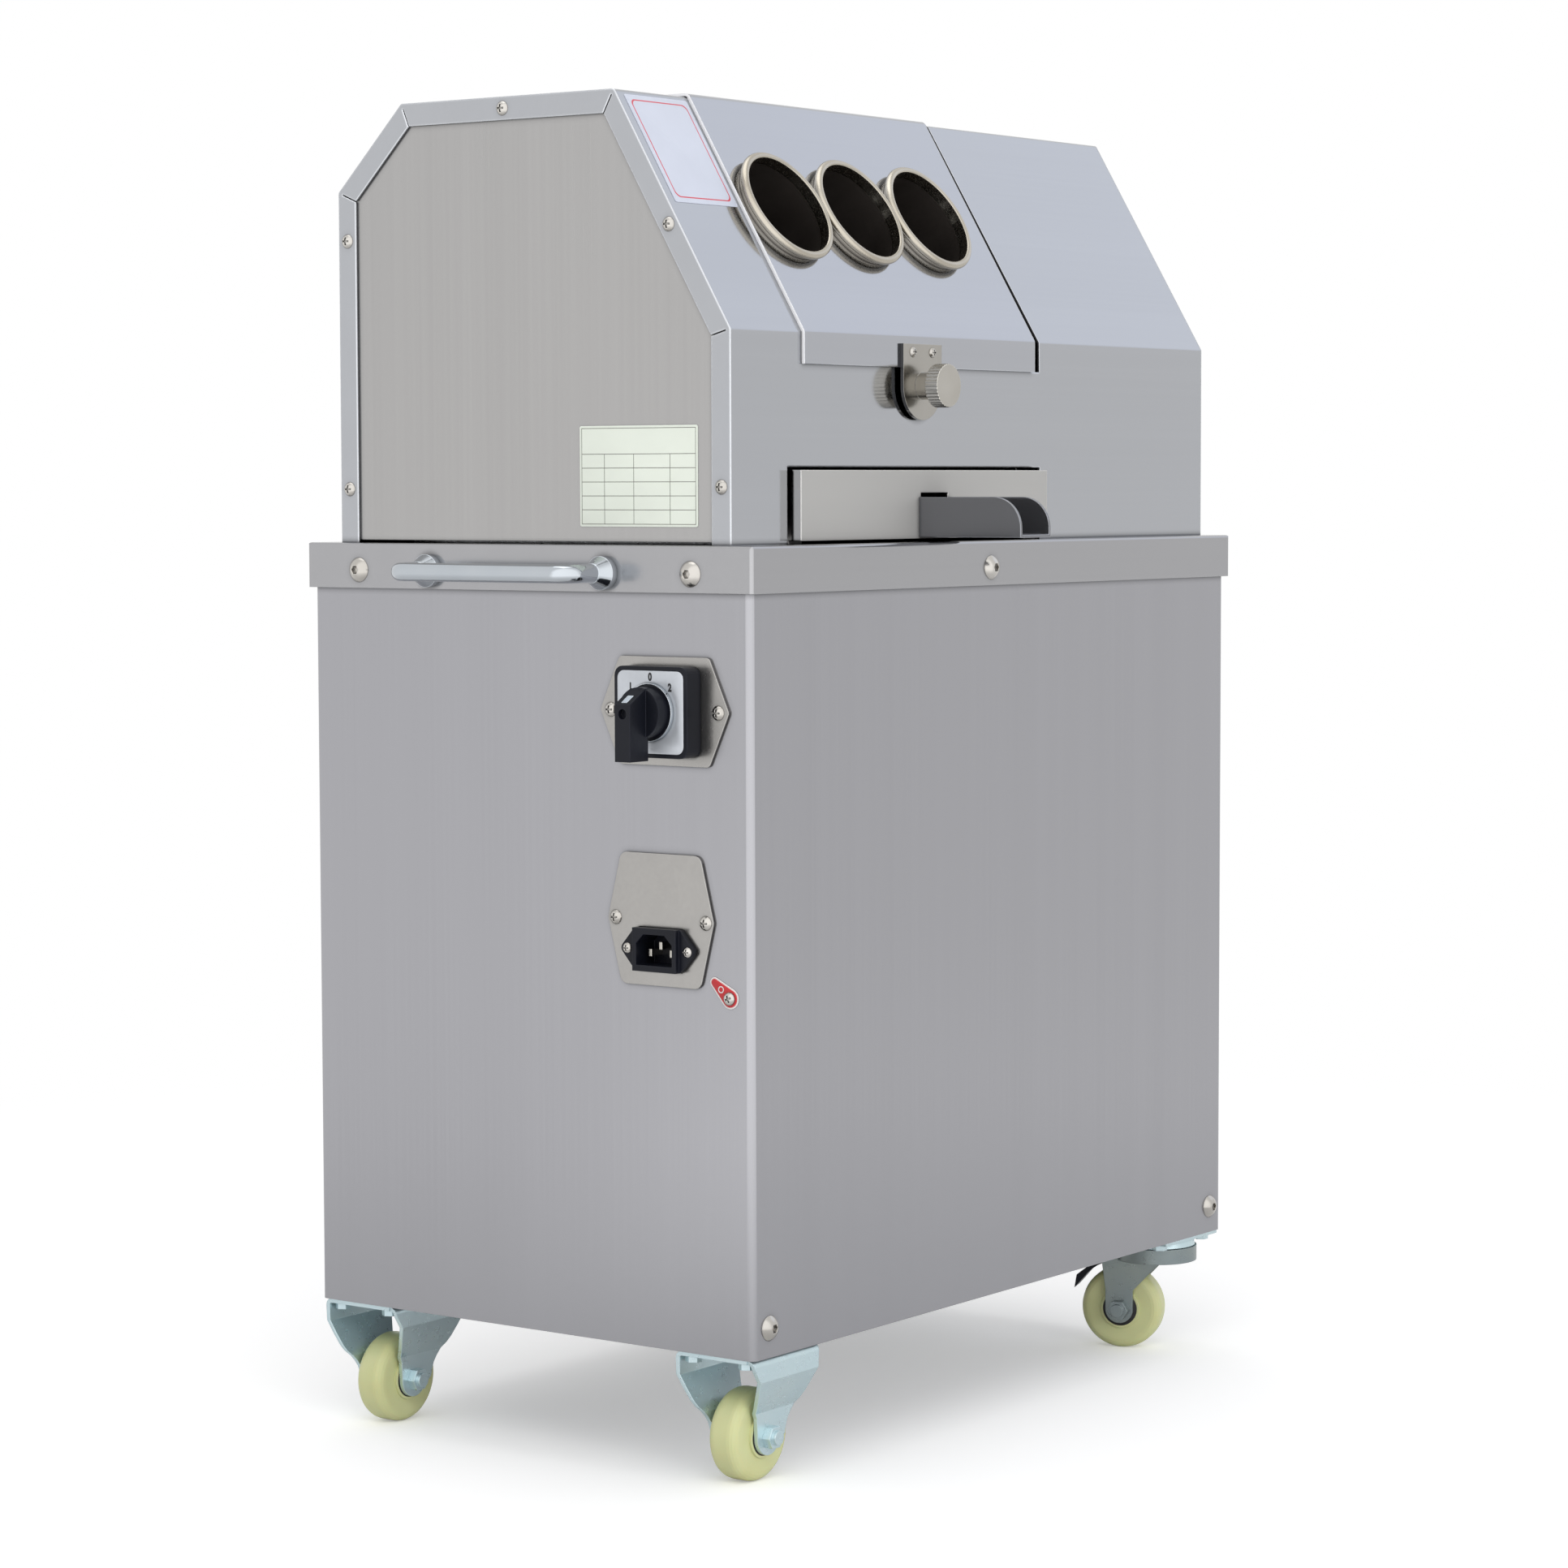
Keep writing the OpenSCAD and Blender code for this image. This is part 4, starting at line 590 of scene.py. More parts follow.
@dataclass(frozen=True)
class Moulded(Mottled):
    """Moulded plastic, nylon or paint, with light that sinks in where asked."""

    fineness: float = 1400.0
    bump: float = 0.05
    bump_depth: float = 0.0004
    pit_gloss: Span = (0.88, 1.15)
    edge_highlight_gain: float = 1.6
    inner_glow: float = 0.0
    glow_depth: float = 0.004
    gloss: float = 0.5

    def paint(self, graph: Graph, shader: Node) -> None:
        """Joins the skin and sets its gloss and inner glow.

        Args:
            graph: The material's nodes.
            shader: The Principled BSDF to feed.
        """
        super().paint(graph, shader)
        shader.inputs["Subsurface Weight"].default_value = self.inner_glow
        shader.inputs["Subsurface Scale"].default_value = self.glow_depth
        shader.inputs["Specular IOR Level"].default_value = self.gloss


# Every finish below paints a highlight on its edges, scaled by its edge highlight gain.
BRACKET_PLATE = 0.0022
RIM_DEPTHS: Span = (0.0075, 0.0055)

# Sheets paint shade into their laps unless their shade reach is 0.
SHEET = BrushedSheet("stainless_sheet_upright", shade(163, 163, 167), 0.17)
# Painted shade on the left-facing faces right of x = -0.2 m, which blackens the slit beside the lid.
COVER = BrushedSheet("stainless_sheet_lengthwise", shade(174, 176, 180), 0.1, 0.0016,
                     grain=Grain.LENGTHWISE, edge_highlight_gain=1.6, left_shading_from=(-0.2, -1.0))
# Painted highlight: the lid's faces that look left, its hem's too, are painted near white and lose their
# metal.
LID_SHEET = BrushedSheet("stainless_lid", shade(174, 176, 181), 0.1, 0.001, grain=Grain.LENGTHWISE,
                         edge_highlight_gain=1.5, shade_reach=0.0, left_shading_from=(-1.0, -1.0), left_shading_tint=(0.9, 0.9, 0.92))
TABLE_SHEET = BrushedSheet("stainless_table", shade(165, 165, 167), 0.16, grain=Grain.LENGTHWISE,
                           edge_highlight_gain=1.1)
END_SHEET = BrushedSheet("stainless_end_panel", shade(169, 168, 167), 0.24, streak=0.02)
WARM_SHEET = BrushedSheet("stainless_switch_plate", shade(164, 162, 159), 0.24, streak=0.03,
                          grain=Grain.LENGTHWISE, shade_reach=0.0018)
TRAY_SHEET = BrushedSheet("stainless_tray", shade(177, 176, 174), 0.14, 0.001, grain=Grain.LENGTHWISE,
                          edge_highlight_gain=1.6, front_haze=0.5)
# The spout's tint is kept far darker than the tray's: a painted dark reflection.
SPOUT_SHEET = BrushedSheet("stainless_spout", shade(122, 123, 127), 0.12, 0.0008, streak=0.008,
                           edge_highlight_gain=1.9, metallic=0.82, grain=Grain.LENGTHWISE, shade_reach=0.0)
# Painted shade on the left-facing edge of the bracket's plate.
BRACKET_STEEL = BrushedSheet("latch_bracket_steel", shade(168, 165, 159), 0.2, streak=0.03, edge_highlight_gain=1.1,
                             shade_reach=0.0, left_shading_from=(-1.0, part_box("latch_bracket")[1].y - BRACKET_PLATE))
DIAL_SHEET = BrushedSheet("dial_plate", shade(192, 196, 202), 0.36, streak=0.04, metallic=0.45,
                          shade_reach=0.0015)
RIM_TOP = max(v.co.dot(TUBE_WAY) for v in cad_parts["left_feed_tube"].data.vertices)
# Painted shade inside the tubes and under their rims.
TUBE_STEEL = MouthMetal("feed_tube_steel", shade(188, 182, 170), 0.24, second=shade(174, 167, 154),
                        edge_highlight_gain=1.1, under_rim_shade=shade(86, 80, 76),
                        rim_low=RIM_TOP - RIM_DEPTHS[0], rim_high=RIM_TOP - RIM_DEPTHS[1])
CHROME = PlatedMetal("chromed_handle", shade(184, 189, 194), 0.07, second=shade(178, 184, 190), bump=0.008)
# Painted shade in the screws' cross recesses.
SCREW_STEEL = PlatedMetal("screw_steel", shade(196, 193, 188), 0.22, second=shade(176, 172, 166),
                          recess_shade_reach=0.0016)
LATCH_STEEL = PlatedMetal("latch_steel", shade(184, 181, 174), 0.2, second=shade(172, 168, 160))
MILL_STEEL = PlatedMetal("ground_mill_steel", shade(168, 170, 172), 0.3, second=shade(150, 152, 155),
                         fineness=500.0)
GEAR_STEEL = PlatedMetal("cut_gear_steel", shade(96, 98, 102), 0.38, second=shade(80, 80, 84), fineness=500.0)
BRONZE = PlatedMetal("bush_bronze", shade(186, 150, 98), 0.32, second=shade(166, 128, 78))
ZINC = PlatedMetal("castor_zinc", shade(196, 216, 222), 0.3, second=shade(202, 219, 222), edge_highlight_gain=1.12,
                   fineness=260.0, bump=0.002, metallic=0.75)
# A darker copy of the castor zinc for the swivel castors: a painted dark reflection.
SHADED_SWIVEL_ZINC = PlatedMetal("shaded_swivel_zinc", shade(136, 146, 148), 0.3, second=shade(146, 154, 150),
                          edge_highlight_gain=1.12, fineness=260.0, bump=0.002, metallic=0.75)
CASTING = PlatedMetal("cast_metal", shade(120, 124, 128), 0.55, second=shade(108, 112, 116),
                      fineness=420.0, bump=0.2, metallic=0.35)
PAINT = Moulded("frame_enamel", shade(74, 78, 82), 0.45, second=shade(66, 70, 74), fineness=240.0, bump=0.12)
BLACK = Moulded("moulded_black", shade(20, 22, 30), 0.36, second=shade(17, 19, 26), edge_highlight_gain=2.0, gloss=0.2)
RUBBER = Moulded("black_washer", shade(26, 25, 27), 0.55, second=shade(20, 20, 22))
NYLON = Moulded("wheel_nylon", shade(207, 210, 159), 0.36, second=shade(200, 201, 146),
                fineness=600.0, bump=0.04, edge_highlight_gain=1.06, inner_glow=0.12)
DIAL_INK = Moulded("dial_ink", shade(12, 12, 16), 0.6, second=shade(16, 16, 20), edge_highlight_gain=1.0)
MARK_PAINT = Moulded("pointer_paint", shade(196, 206, 216), 0.45, second=shade(184, 194, 206))
TAG_EDGE = Moulded("tag_edge", shade(228, 222, 220), 0.4, second=shade(220, 212, 210))
TAG_RED = Moulded("tag_red", shade(190, 40, 44), 0.38, second=shade(176, 34, 40))

FINISHES: dict[Finish, tuple[str, ...]] = {
    SHEET: ("cabinet_shell", "cabinet_back_panel"),
    COVER: ("head_cover", "base_plate", "bagasse_chute"),
    LID_SHEET: ("lid",),
    TABLE_SHEET: ("table_top",),
    END_SHEET: ("head_left_panel", "head_right_panel"),
    WARM_SHEET: ("switch_plate", "inlet_plate"),
    TRAY_SHEET: ("juice_tray",),
    SPOUT_SHEET: ("juice_spout",),
    TUBE_STEEL: ("left_feed_tube", "middle_feed_tube", "right_feed_tube"),
    CHROME: ("left_handle", "right_handle"),
    SCREW_STEEL: ("cover_screws", "casing_bolts", "latch_screws", "hinge_pin"),
    BRACKET_STEEL: ("latch_bracket",),
    LATCH_STEEL: ("latch_plunger", "fixed_hinge_leaf", "lid_hinge_leaf", "inlet_pins"),
    MILL_STEEL: ("left_cheek", "right_cheek", "tie_bars", "turner_bar",
                 "top_roller", "front_roller", "rear_roller"),
    GEAR_STEEL: ("top_gear", "front_gear", "rear_gear"),
    BRONZE: ("roller_bushes",),
    SHADED_SWIVEL_ZINC: ("front_right_fork", "rear_right_fork", "front_right_axle", "rear_right_axle"),
    ZINC: ("front_left_fork", "rear_left_fork", "rigid_axles",
           "front_right_castor_plate", "rear_right_castor_plate", "castor_bolts"),
    CASTING: ("gearbox", "motor"),
    PAINT: ("welded_frame",),
    BLACK: ("switch_body", "switch_knob", "power_inlet", "front_right_pedal", "rear_right_pedal"),
    NYLON: ("front_left_wheel", "rear_left_wheel", "front_right_wheel", "rear_right_wheel"),
}


def dress_nodes() -> None:
    """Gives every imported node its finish."""
    for finish, names in FINISHES.items():
        for name in names:
            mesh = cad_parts[name].data
            if not mesh.materials:
                mesh.materials.append(finish.material())
            for index in range(len(mesh.materials)):
                mesh.materials[index] = finish.material()
            LOG.info("%s: %s", name, finish.name)
    bare = set(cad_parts) - {name for names in FINISHES.values() for name in names}
    if bare:
        LOG.warning("no finish for %s", sorted(bare))


class Side(Enum):
    """A flat side that trim lies on, as the directions of its right, its up and its outside."""

    LEFT = ((0.0, -1.0, 0.0), (0.0, 0.0, 1.0), (-1.0, 0.0, 0.0))
    RIGHT = ((0.0, 1.0, 0.0), (0.0, 0.0, 1.0), (1.0, 0.0, 0.0))

    def place(self, origin: Sequence[float]) -> Matrix:
        """Gives the matrix from the side's own right, up and out, about an origin, to the part's frame."""
        return axes(*self.value, origin)


def axes(right: Sequence[float], up: Sequence[float], out: Sequence[float],
         origin: Sequence[float]) -> Matrix:
    """Gives the matrix from own axes to the part's frame.

    Args:
        right: Direction of the first axis.
        up: Direction of the second axis.
        out: Direction of the third axis.
        origin: Where zero is.

    Returns:
        The matrix.
    """
    turn = Matrix((right, up, out)).transposed().to_4x4()
    return Matrix.Translation(origin) @ turn


def arc(middle: Sequence[float], radius: float, start: float, sweep: float, steps: int) -> list[Point]:
    """Gives the points of an arc, both ends included.

    Args:
        middle: The arc's middle.
        radius: Its radius.
        start: Angle of its first point.
        sweep: Angle that it turns through, anticlockwise.
        steps: Points, less one.

    Returns:
        The points.
    """
    turns = (start + sweep * step / steps for step in range(steps + 1))
    return [(middle[0] + radius * math.cos(t), middle[1] + radius * math.sin(t)) for t in turns]


def circle(radius: float, steps: int = 48, middle: Sequence[float] = (0.0, 0.0)) -> list[Point]:
    """Gives the points of a circle, anticlockwise."""
    return arc(middle, radius, 0.0, math.tau, steps)[:-1]


def rounded(width: float, height: float, radius: float, steps: int = 6) -> list[Point]:
    """Gives the outline of a rectangle with rounded corners about zero.

    Args:
        width: Width across.
        height: Height.
        radius: Radius of the corners.
        steps: Points to a corner, less one.

    Returns:
        The points, anticlockwise.
    """
    points = []
    for turn, (sx, sy) in enumerate(((1, 1), (-1, 1), (-1, -1), (1, -1))):
        middle = (sx * (width / 2 - radius), sy * (height / 2 - radius))
        points += arc(middle, radius, math.radians(90 * turn), math.radians(90), steps)
    return points


def cut_plate(low: float, high: float, outline: Sequence[Point], holes: Iterable[Sequence[Point]] = (),
              soft: float = 0.0) -> bmesh.types.BMesh:
    """Makes a flat plate from its outline and holes.

    Args:
        low: Height of its back.
        high: Height of its face.
        outline: The outline's points.
        holes: The holes' points.
        soft: Size of the broken edge round its face.

    Returns:
        The plate's mesh.
    """
    bm = bmesh.new()
    edges = []
    for loop in (outline, *holes):
        points = [bm.verts.new((x, y, low)) for x, y in loop]
        edges += [bm.edges.new((a, b)) for a, b in zip(points, points[1:] + points[:1])]
    bmesh.ops.triangle_fill(bm, edges=edges, use_beauty=True)
    bmesh.ops.dissolve_limit(bm, angle_limit=0.01, verts=bm.verts[:], edges=bm.edges[:])
    raised = bmesh.ops.extrude_face_region(bm, geom=bm.faces[:])["geom"]
    tops = [v for v in raised if isinstance(v, bmesh.types.BMVert)]
    bmesh.ops.translate(bm, vec=(0, 0, high - low), verts=tops)
    bmesh.ops.recalc_face_normals(bm, faces=bm.faces[:])
    if soft:
        rim = [e for e in bm.edges if all(abs(v.co.z - high) < 1e-9 for v in e.verts)
               and any(abs(f.normal.z) < 0.5 for f in e.link_faces)]
        bmesh.ops.bevel(bm, geom=rim, offset=soft, segments=2, profile=0.6, affect="EDGES")
    return bm


def turned(profile: Sequence[Point], steps: int = 48) -> bmesh.types.BMesh:
    """Turns a closed profile of radius and height round the third axis.

    Args:
        profile: The profile's points.
        steps: Steps round the turn.

    Returns:
        The turned mesh.
    """
    bm = bmesh.new()
    rings = []
    for radius, height in profile:
        spots = circle(radius, steps) if radius > 0 else [(0.0, 0.0)]
        rings.append([bm.verts.new((x, y, height)) for x, y in spots])
    closed = all(len(ring) > 1 for ring in rings)
    pairs = list(zip(rings, rings[1:])) + ([(rings[-1], rings[0])] if closed else [])
    for near, far in pairs:
        for step in range(steps):
            corners = [near[step % len(near)], near[(step + 1) % len(near)],
                       far[(step + 1) % len(far)], far[step % len(far)]]
            unique = list(dict.fromkeys(corners))
            if len(unique) > 2:
                bm.faces.new(unique)
    bmesh.ops.recalc_face_normals(bm, faces=bm.faces[:])
    return bm


def as_object(name: str, bm: bmesh.types.BMesh) -> bpy.types.Object:
    """Puts a mesh in an object of the scene.

    Args:
        name: The object's name.
        bm: The mesh, which is freed.

    Returns:
        The object.
    """
    mesh = bpy.data.meshes.new(name)
    bm.to_mesh(mesh)
    bm.free()
    made = bpy.data.objects.new(name, mesh)
    bpy.context.scene.collection.objects.link(made)
    return made


def evaluated(holder: bpy.types.Object) -> bpy.types.Mesh:
    """Gives a new mesh of what an object shows."""
    bpy.context.view_layer.update()
    return bpy.data.meshes.new_from_object(holder.evaluated_get(bpy.context.evaluated_depsgraph_get()))


def taken(holder: bpy.types.Object) -> bmesh.types.BMesh:
    """Takes the mesh that an object shows and removes the object.

    Args:
        holder: The object.

    Returns:
        Its mesh.
    """
    mesh = evaluated(holder)
    bm = bmesh.new()
    bm.from_mesh(mesh)
    bpy.data.meshes.remove(mesh)
    bpy.data.objects.remove(holder)
    return bm


def carve(target: bpy.types.Object, cutter: bpy.types.Object) -> None:
    """Cuts one passing object out of another and removes the cutter.

    Args:
        target: The object that is cut.
        cutter: The object that is taken away.
    """
    cut = target.modifiers.new("cut", "BOOLEAN")
    cut.operation, cut.object, cut.solver = "DIFFERENCE", cutter, "EXACT"
    mesh = evaluated(target)
    target.modifiers.clear()
    target.data = mesh
    bpy.data.objects.remove(cutter)


def piece(name: str, bm: bmesh.types.BMesh, place: Matrix, finish: Finish, body: str) -> None:
    """Makes a shown piece of a mesh and has it ride on a body.

    Args:
        name: The piece's name.
        bm: Its mesh, in its own axes, which is freed.
        place: From its own axes to the part's frame.
        finish: Its finish.
        body: The body that it rides on.
    """
    made = as_object(name, bm)
    made.data.shade_smooth()
    made.data.set_sharp_from_angle(angle=SMOOTH_ANGLE)
    made.data.materials.append(finish.material())
    made.matrix_world = place
    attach(made, body)
    LOG.info("%s on %s: %s", name, body, finish.name)


@dataclass(frozen=True)
class RuledCard(Finish):
    """A blank printed plate: plain card with an even border and, where asked, an empty ruled grid."""

    ink: Colour = (0.05, 0.05, 0.05)
    size: Point = (0.08, 0.05)
    margin: float = 0.002
    line: float = 0.00035
    rows: int = 0
    columns: tuple[float, ...] = ()
    head: float = 0.0
    corner: float = 0.0003
    fineness: float = 700.0
    fade: float = 0.95
    pit_gloss: Span = (0.9, 1.1)
    bump: float = 0.03
    bump_depth: float = 0.0003

    def bar(self, graph: Graph, along: Socket, middle: float) -> Socket:
        """Gives the mask of one ruled line, by the place across it and its middle."""
        far = graph.sum("ABSOLUTE", graph.sum("SUBTRACT", along, middle))
        return graph.sum("LESS_THAN", far, self.line / 2)

    def inside(self, graph: Graph, place: Sequence[Socket], half: Point) -> Socket:
        """Gives a mask of a rectangle about zero with rounded corners.

        Args:
            graph: The material's nodes.
            place: The place across and up.
            half: Half of its width and height.

        Returns:
            The mask, 1 inside.
        """
        past = [graph.sum("MAXIMUM", graph.sum("SUBTRACT", graph.sum("ABSOLUTE", p), h - self.corner))
                for p, h in zip(place, half)]
        square = graph.sum("ADD", *(graph.sum("MULTIPLY", p, p) for p in past))
        return graph.sum("LESS_THAN", square, self.corner ** 2)

    def grid(self, graph: Graph, place: Sequence[Socket], half: Point) -> Socket:
        """Gives a mask of the rows and of the columns under the plate's empty head.

        Args:
            graph: The material's nodes.
            place: The place across and up.
            half: Half of the grid's width and height.

        Returns:
            The mask, 1 on a line.
        """
        across, up = place
        top = half[1] - self.head
        lines: Value = 0.0
        for row in range(self.rows):
            middle = top - (top + half[1]) * row / self.rows
            lines = graph.sum("MAXIMUM", lines, self.bar(graph, up, middle))
        below = graph.sum("LESS_THAN", up, top)
        for share in self.columns:
            mark = self.bar(graph, across, half[0] * (2 * share - 1))
            lines = graph.sum("MAXIMUM", lines, graph.sum("MULTIPLY", mark, below))
        return lines

    def paint(self, graph: Graph, shader: Node) -> None:
        """Draws the border and the grid on the card.

        Args:
            graph: The material's nodes.
            shader: The Principled BSDF to feed.
        """
        where = graph.where()
        place = graph.split(where)[:2]
        outer = tuple(side / 2 - self.margin for side in self.size)
        inner = tuple(side - self.line for side in outer)
        within = self.inside(graph, place, inner)
        ink = graph.sum("SUBTRACT", self.inside(graph, place, outer), within)
        if self.rows:
            ink = graph.sum("MAXIMUM", ink, graph.sum("MULTIPLY", self.grid(graph, place, inner), within))
        skin = {"Place": where, "Fineness": self.fineness}
        pits, patches = graph.add("ShaderNodeGroup", skin, node_tree=Effects.mottle()).outputs
        card = graph.blend(patches, self.tint, scaled(self.tint, self.fade))
        graph.feed(shader.inputs["Base Color"], graph.blend(ink, card, self.ink))
        gloss = (self.roughness * share for share in self.pit_gloss)
        graph.feed(shader.inputs["Roughness"], graph.spread(pits, *gloss, *NOISE_REACH))
        self.emboss(graph, shader, {"Strength": self.bump, "Distance": self.bump_depth, "Height": pits})


@dataclass
class HeadPlates:
    """The two blank plates on the head: a ruled card on its left end and a bordered one on its slope."""

    ruled: RuledCard = RuledCard("rating_card", shade(228, 234, 223), 0.42, ink=shade(92, 92, 84),
                                 size=(0.079, 0.0535), margin=0.0012, rows=5, columns=(0.2, 0.46, 0.78),
                                 head=0.0135)
    ruled_low: float = 0.0095
    ruled_front: float = 0.0225
    bordered: RuledCard = RuledCard("slope_card", shade(196, 201, 215), 0.38, ink=shade(196, 78, 92),
                                    size=(0.0545, 0.0675), margin=0.003, line=0.0008, corner=0.0038)
    ridge_gap: float = 0.003
    end_gap: float = 0.006
    thickness: float = 0.0003
    corner: float = 0.0012

    def build(self) -> None:
        """Makes both plates and sets them on the head."""
        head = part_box("head_cover")[0]
        width, height = self.ruled.size
        spot = (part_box("head_left_panel")[0].x, head.y + self.ruled_front + width / 2,
                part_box("table_top")[1].z + self.ruled_low + height / 2)
        self.plate(self.ruled, Side.LEFT.place(spot))
        width, height = self.bordered.size
        up, out = (Vector((0.0, *way)) for way in (SLOPE.along, SLOPE.out))
        ridge = Vector((head.x + self.end_gap + width / 2, *SLOPE.ridge))
        spot = ridge - up * (self.ridge_gap + height / 2)
        self.plate(self.bordered, axes((1.0, 0.0, 0.0), up, out, spot))

    def plate(self, card: RuledCard, place: Matrix) -> None:
        """Makes one plate, named after its card.

        Args:
            card: The plate's finish and size.
            place: From its own axes to the part's frame.
        """
        outline = rounded(*card.size, self.corner)
        plate = cut_plate(0.0, self.thickness, outline, soft=self.thickness / 3)
        piece(card.name, plate, place, card, "machine")


@dataclass
class LidHem:
    """The lid's left edge, turned under until it all but rests on the head's slope and front."""

    lip: float = 0.0175
    gap: float = 0.0005
    clear: float = 0.00006
    width: float = 0.0025

    def build(self) -> None:
        """Makes the turned edge as one strip bent at the fold."""
        slope, front = SLOPE.out, Vector((-1.0, 0.0))
        corner = (slope + front) / (1 + slope.dot(front))
        foot = SLOPE.fold - Vector((0.0, self.lip - self.gap))
        ways = ((SLOPE.ridge, slope), (SLOPE.fold, corner), (foot, front))
        outline = [spot + way * self.clear for spot, way in ways]
        outline += [spot + way * self.gap for spot, way in reversed(ways)]
        strip = cut_plate(0.0, self.width, [tuple(point) for point in outline])
        place = Side.RIGHT.place((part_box("lid")[0].x, 0.0, 0.0))
        # Its left-facing face takes the lid's painted highlight.
        piece("lid_edge_hem", strip, place, LID_SHEET, "lid")


@dataclass
class SwitchDial:
    """The switch's printed dial, its bright bezel and the pointer mark on its knob."""

    face: float = 0.0435
    corner: float = 0.0042
    thickness: float = 0.0004
    ring_high: float = 0.002
    bezel_in: float = 0.01485
    bezel_out: float = 0.0156
    bezel_high: float = 0.0024
    bezel_wall: float = 0.0004
    bezel_lean: Point = (0.0005, 0.0003)
    bezel_crest: Point = (0.0004, 0.0002)
    bezel_steps: int = 64
    hole_lap: float = 0.0001
    digit: float = 0.0056
    digit_high: float = 0.00006
    digit_weight: float = 0.00028
    digit_width: float = 0.8
    digit_radius: float = 0.0184
    digit_turns: tuple[tuple[str, float], ...] = (("0", 0.0), ("1", 45.0), ("2", -45.0))
    mark: Point = (0.0037, 0.0068)
    mark_corner: float = 0.0003
    mark_span: Span = (-0.0001, 0.00012)
    roof_lean: float = 0.35

    def build(self) -> None:
        """Makes the dial, its numbers, its bezel and the knob's mark."""
        low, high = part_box("switch_plate")
        middle = (low + high) / 2
        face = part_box("switch_body")[0].x + self.ring_high
        place = Side.LEFT.place((face, middle.y, middle.z))
        thick, top = self.thickness, self.bezel_high
        outline = rounded(self.face, self.face, self.corner)
        hole = circle(self.bezel_in - self.hole_lap, self.bezel_steps)
        piece("dial_plate", cut_plate(0.0, thick, outline, [hole], thick / 4), place, DIAL_SHEET, "machine")
        profile = [(self.bezel_in, 0.0), (self.bezel_out, 0.0), (self.bezel_out, thick + self.bezel_wall),
                   (self.bezel_out - self.bezel_lean[0], top - self.bezel_lean[1]),
                   (self.bezel_in + self.bezel_crest[0], top), (self.bezel_in, top - self.bezel_crest[1])]
        piece("dial_bezel", turned(profile, self.bezel_steps), place, CHROME, "machine")
        for text, turn in self.digit_turns:
            angle = math.radians(90 + turn)
            spot = Vector((self.digit_radius * math.cos(angle), self.digit_radius * math.sin(angle), thick))
            shifted = place @ Matrix.Translation(spot)
            piece(f"dial_number_{text}", self.number(text), shifted, DIAL_INK, "machine")
        self.build_mark()

    def number(self, text: str) -> bmesh.types.BMesh:
        """Makes a dial number as a thin mesh about its own middle.

        Args:
            text: The number.

        Returns:
            The number's mesh.
        """
        curve = bpy.data.curves.new("number", "FONT")
        curve.body = text
        curve.size = self.digit
        curve.align_x, curve.align_y = "CENTER", "CENTER"
        curve.extrude = self.digit_high
        curve.offset = self.digit_weight
        holder = bpy.data.objects.new("number", curve)
        bpy.context.scene.collection.objects.link(holder)
        bm = taken(holder)
        bmesh.ops.scale(bm, vec=(self.digit_width, 1.0, 1.0), verts=bm.verts[:])
        bpy.data.curves.remove(curve)
        return bm

    def build_mark(self) -> None:
        """Makes the pale mark on the knob's sloping roof."""
        low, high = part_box("switch_knob")
        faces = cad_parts["switch_knob"].data.polygons
        sloping = (f for f in faces if f.normal.x < -self.roof_lean and f.normal.z > self.roof_lean)
        roof = max(sloping, key=lambda f: f.area)
        out = roof.normal.normalized()
        right = Vector((0.0, -1.0, 0.0))
        spot = Vector((roof.center.x, (low.y + high.y) / 2, roof.center.z))
        plate = cut_plate(*self.mark_span, rounded(*self.mark, self.mark_corner, 3))
        piece("knob_mark", plate, axes(right, out.cross(right), out, spot), MARK_PAINT, "switch_knob")


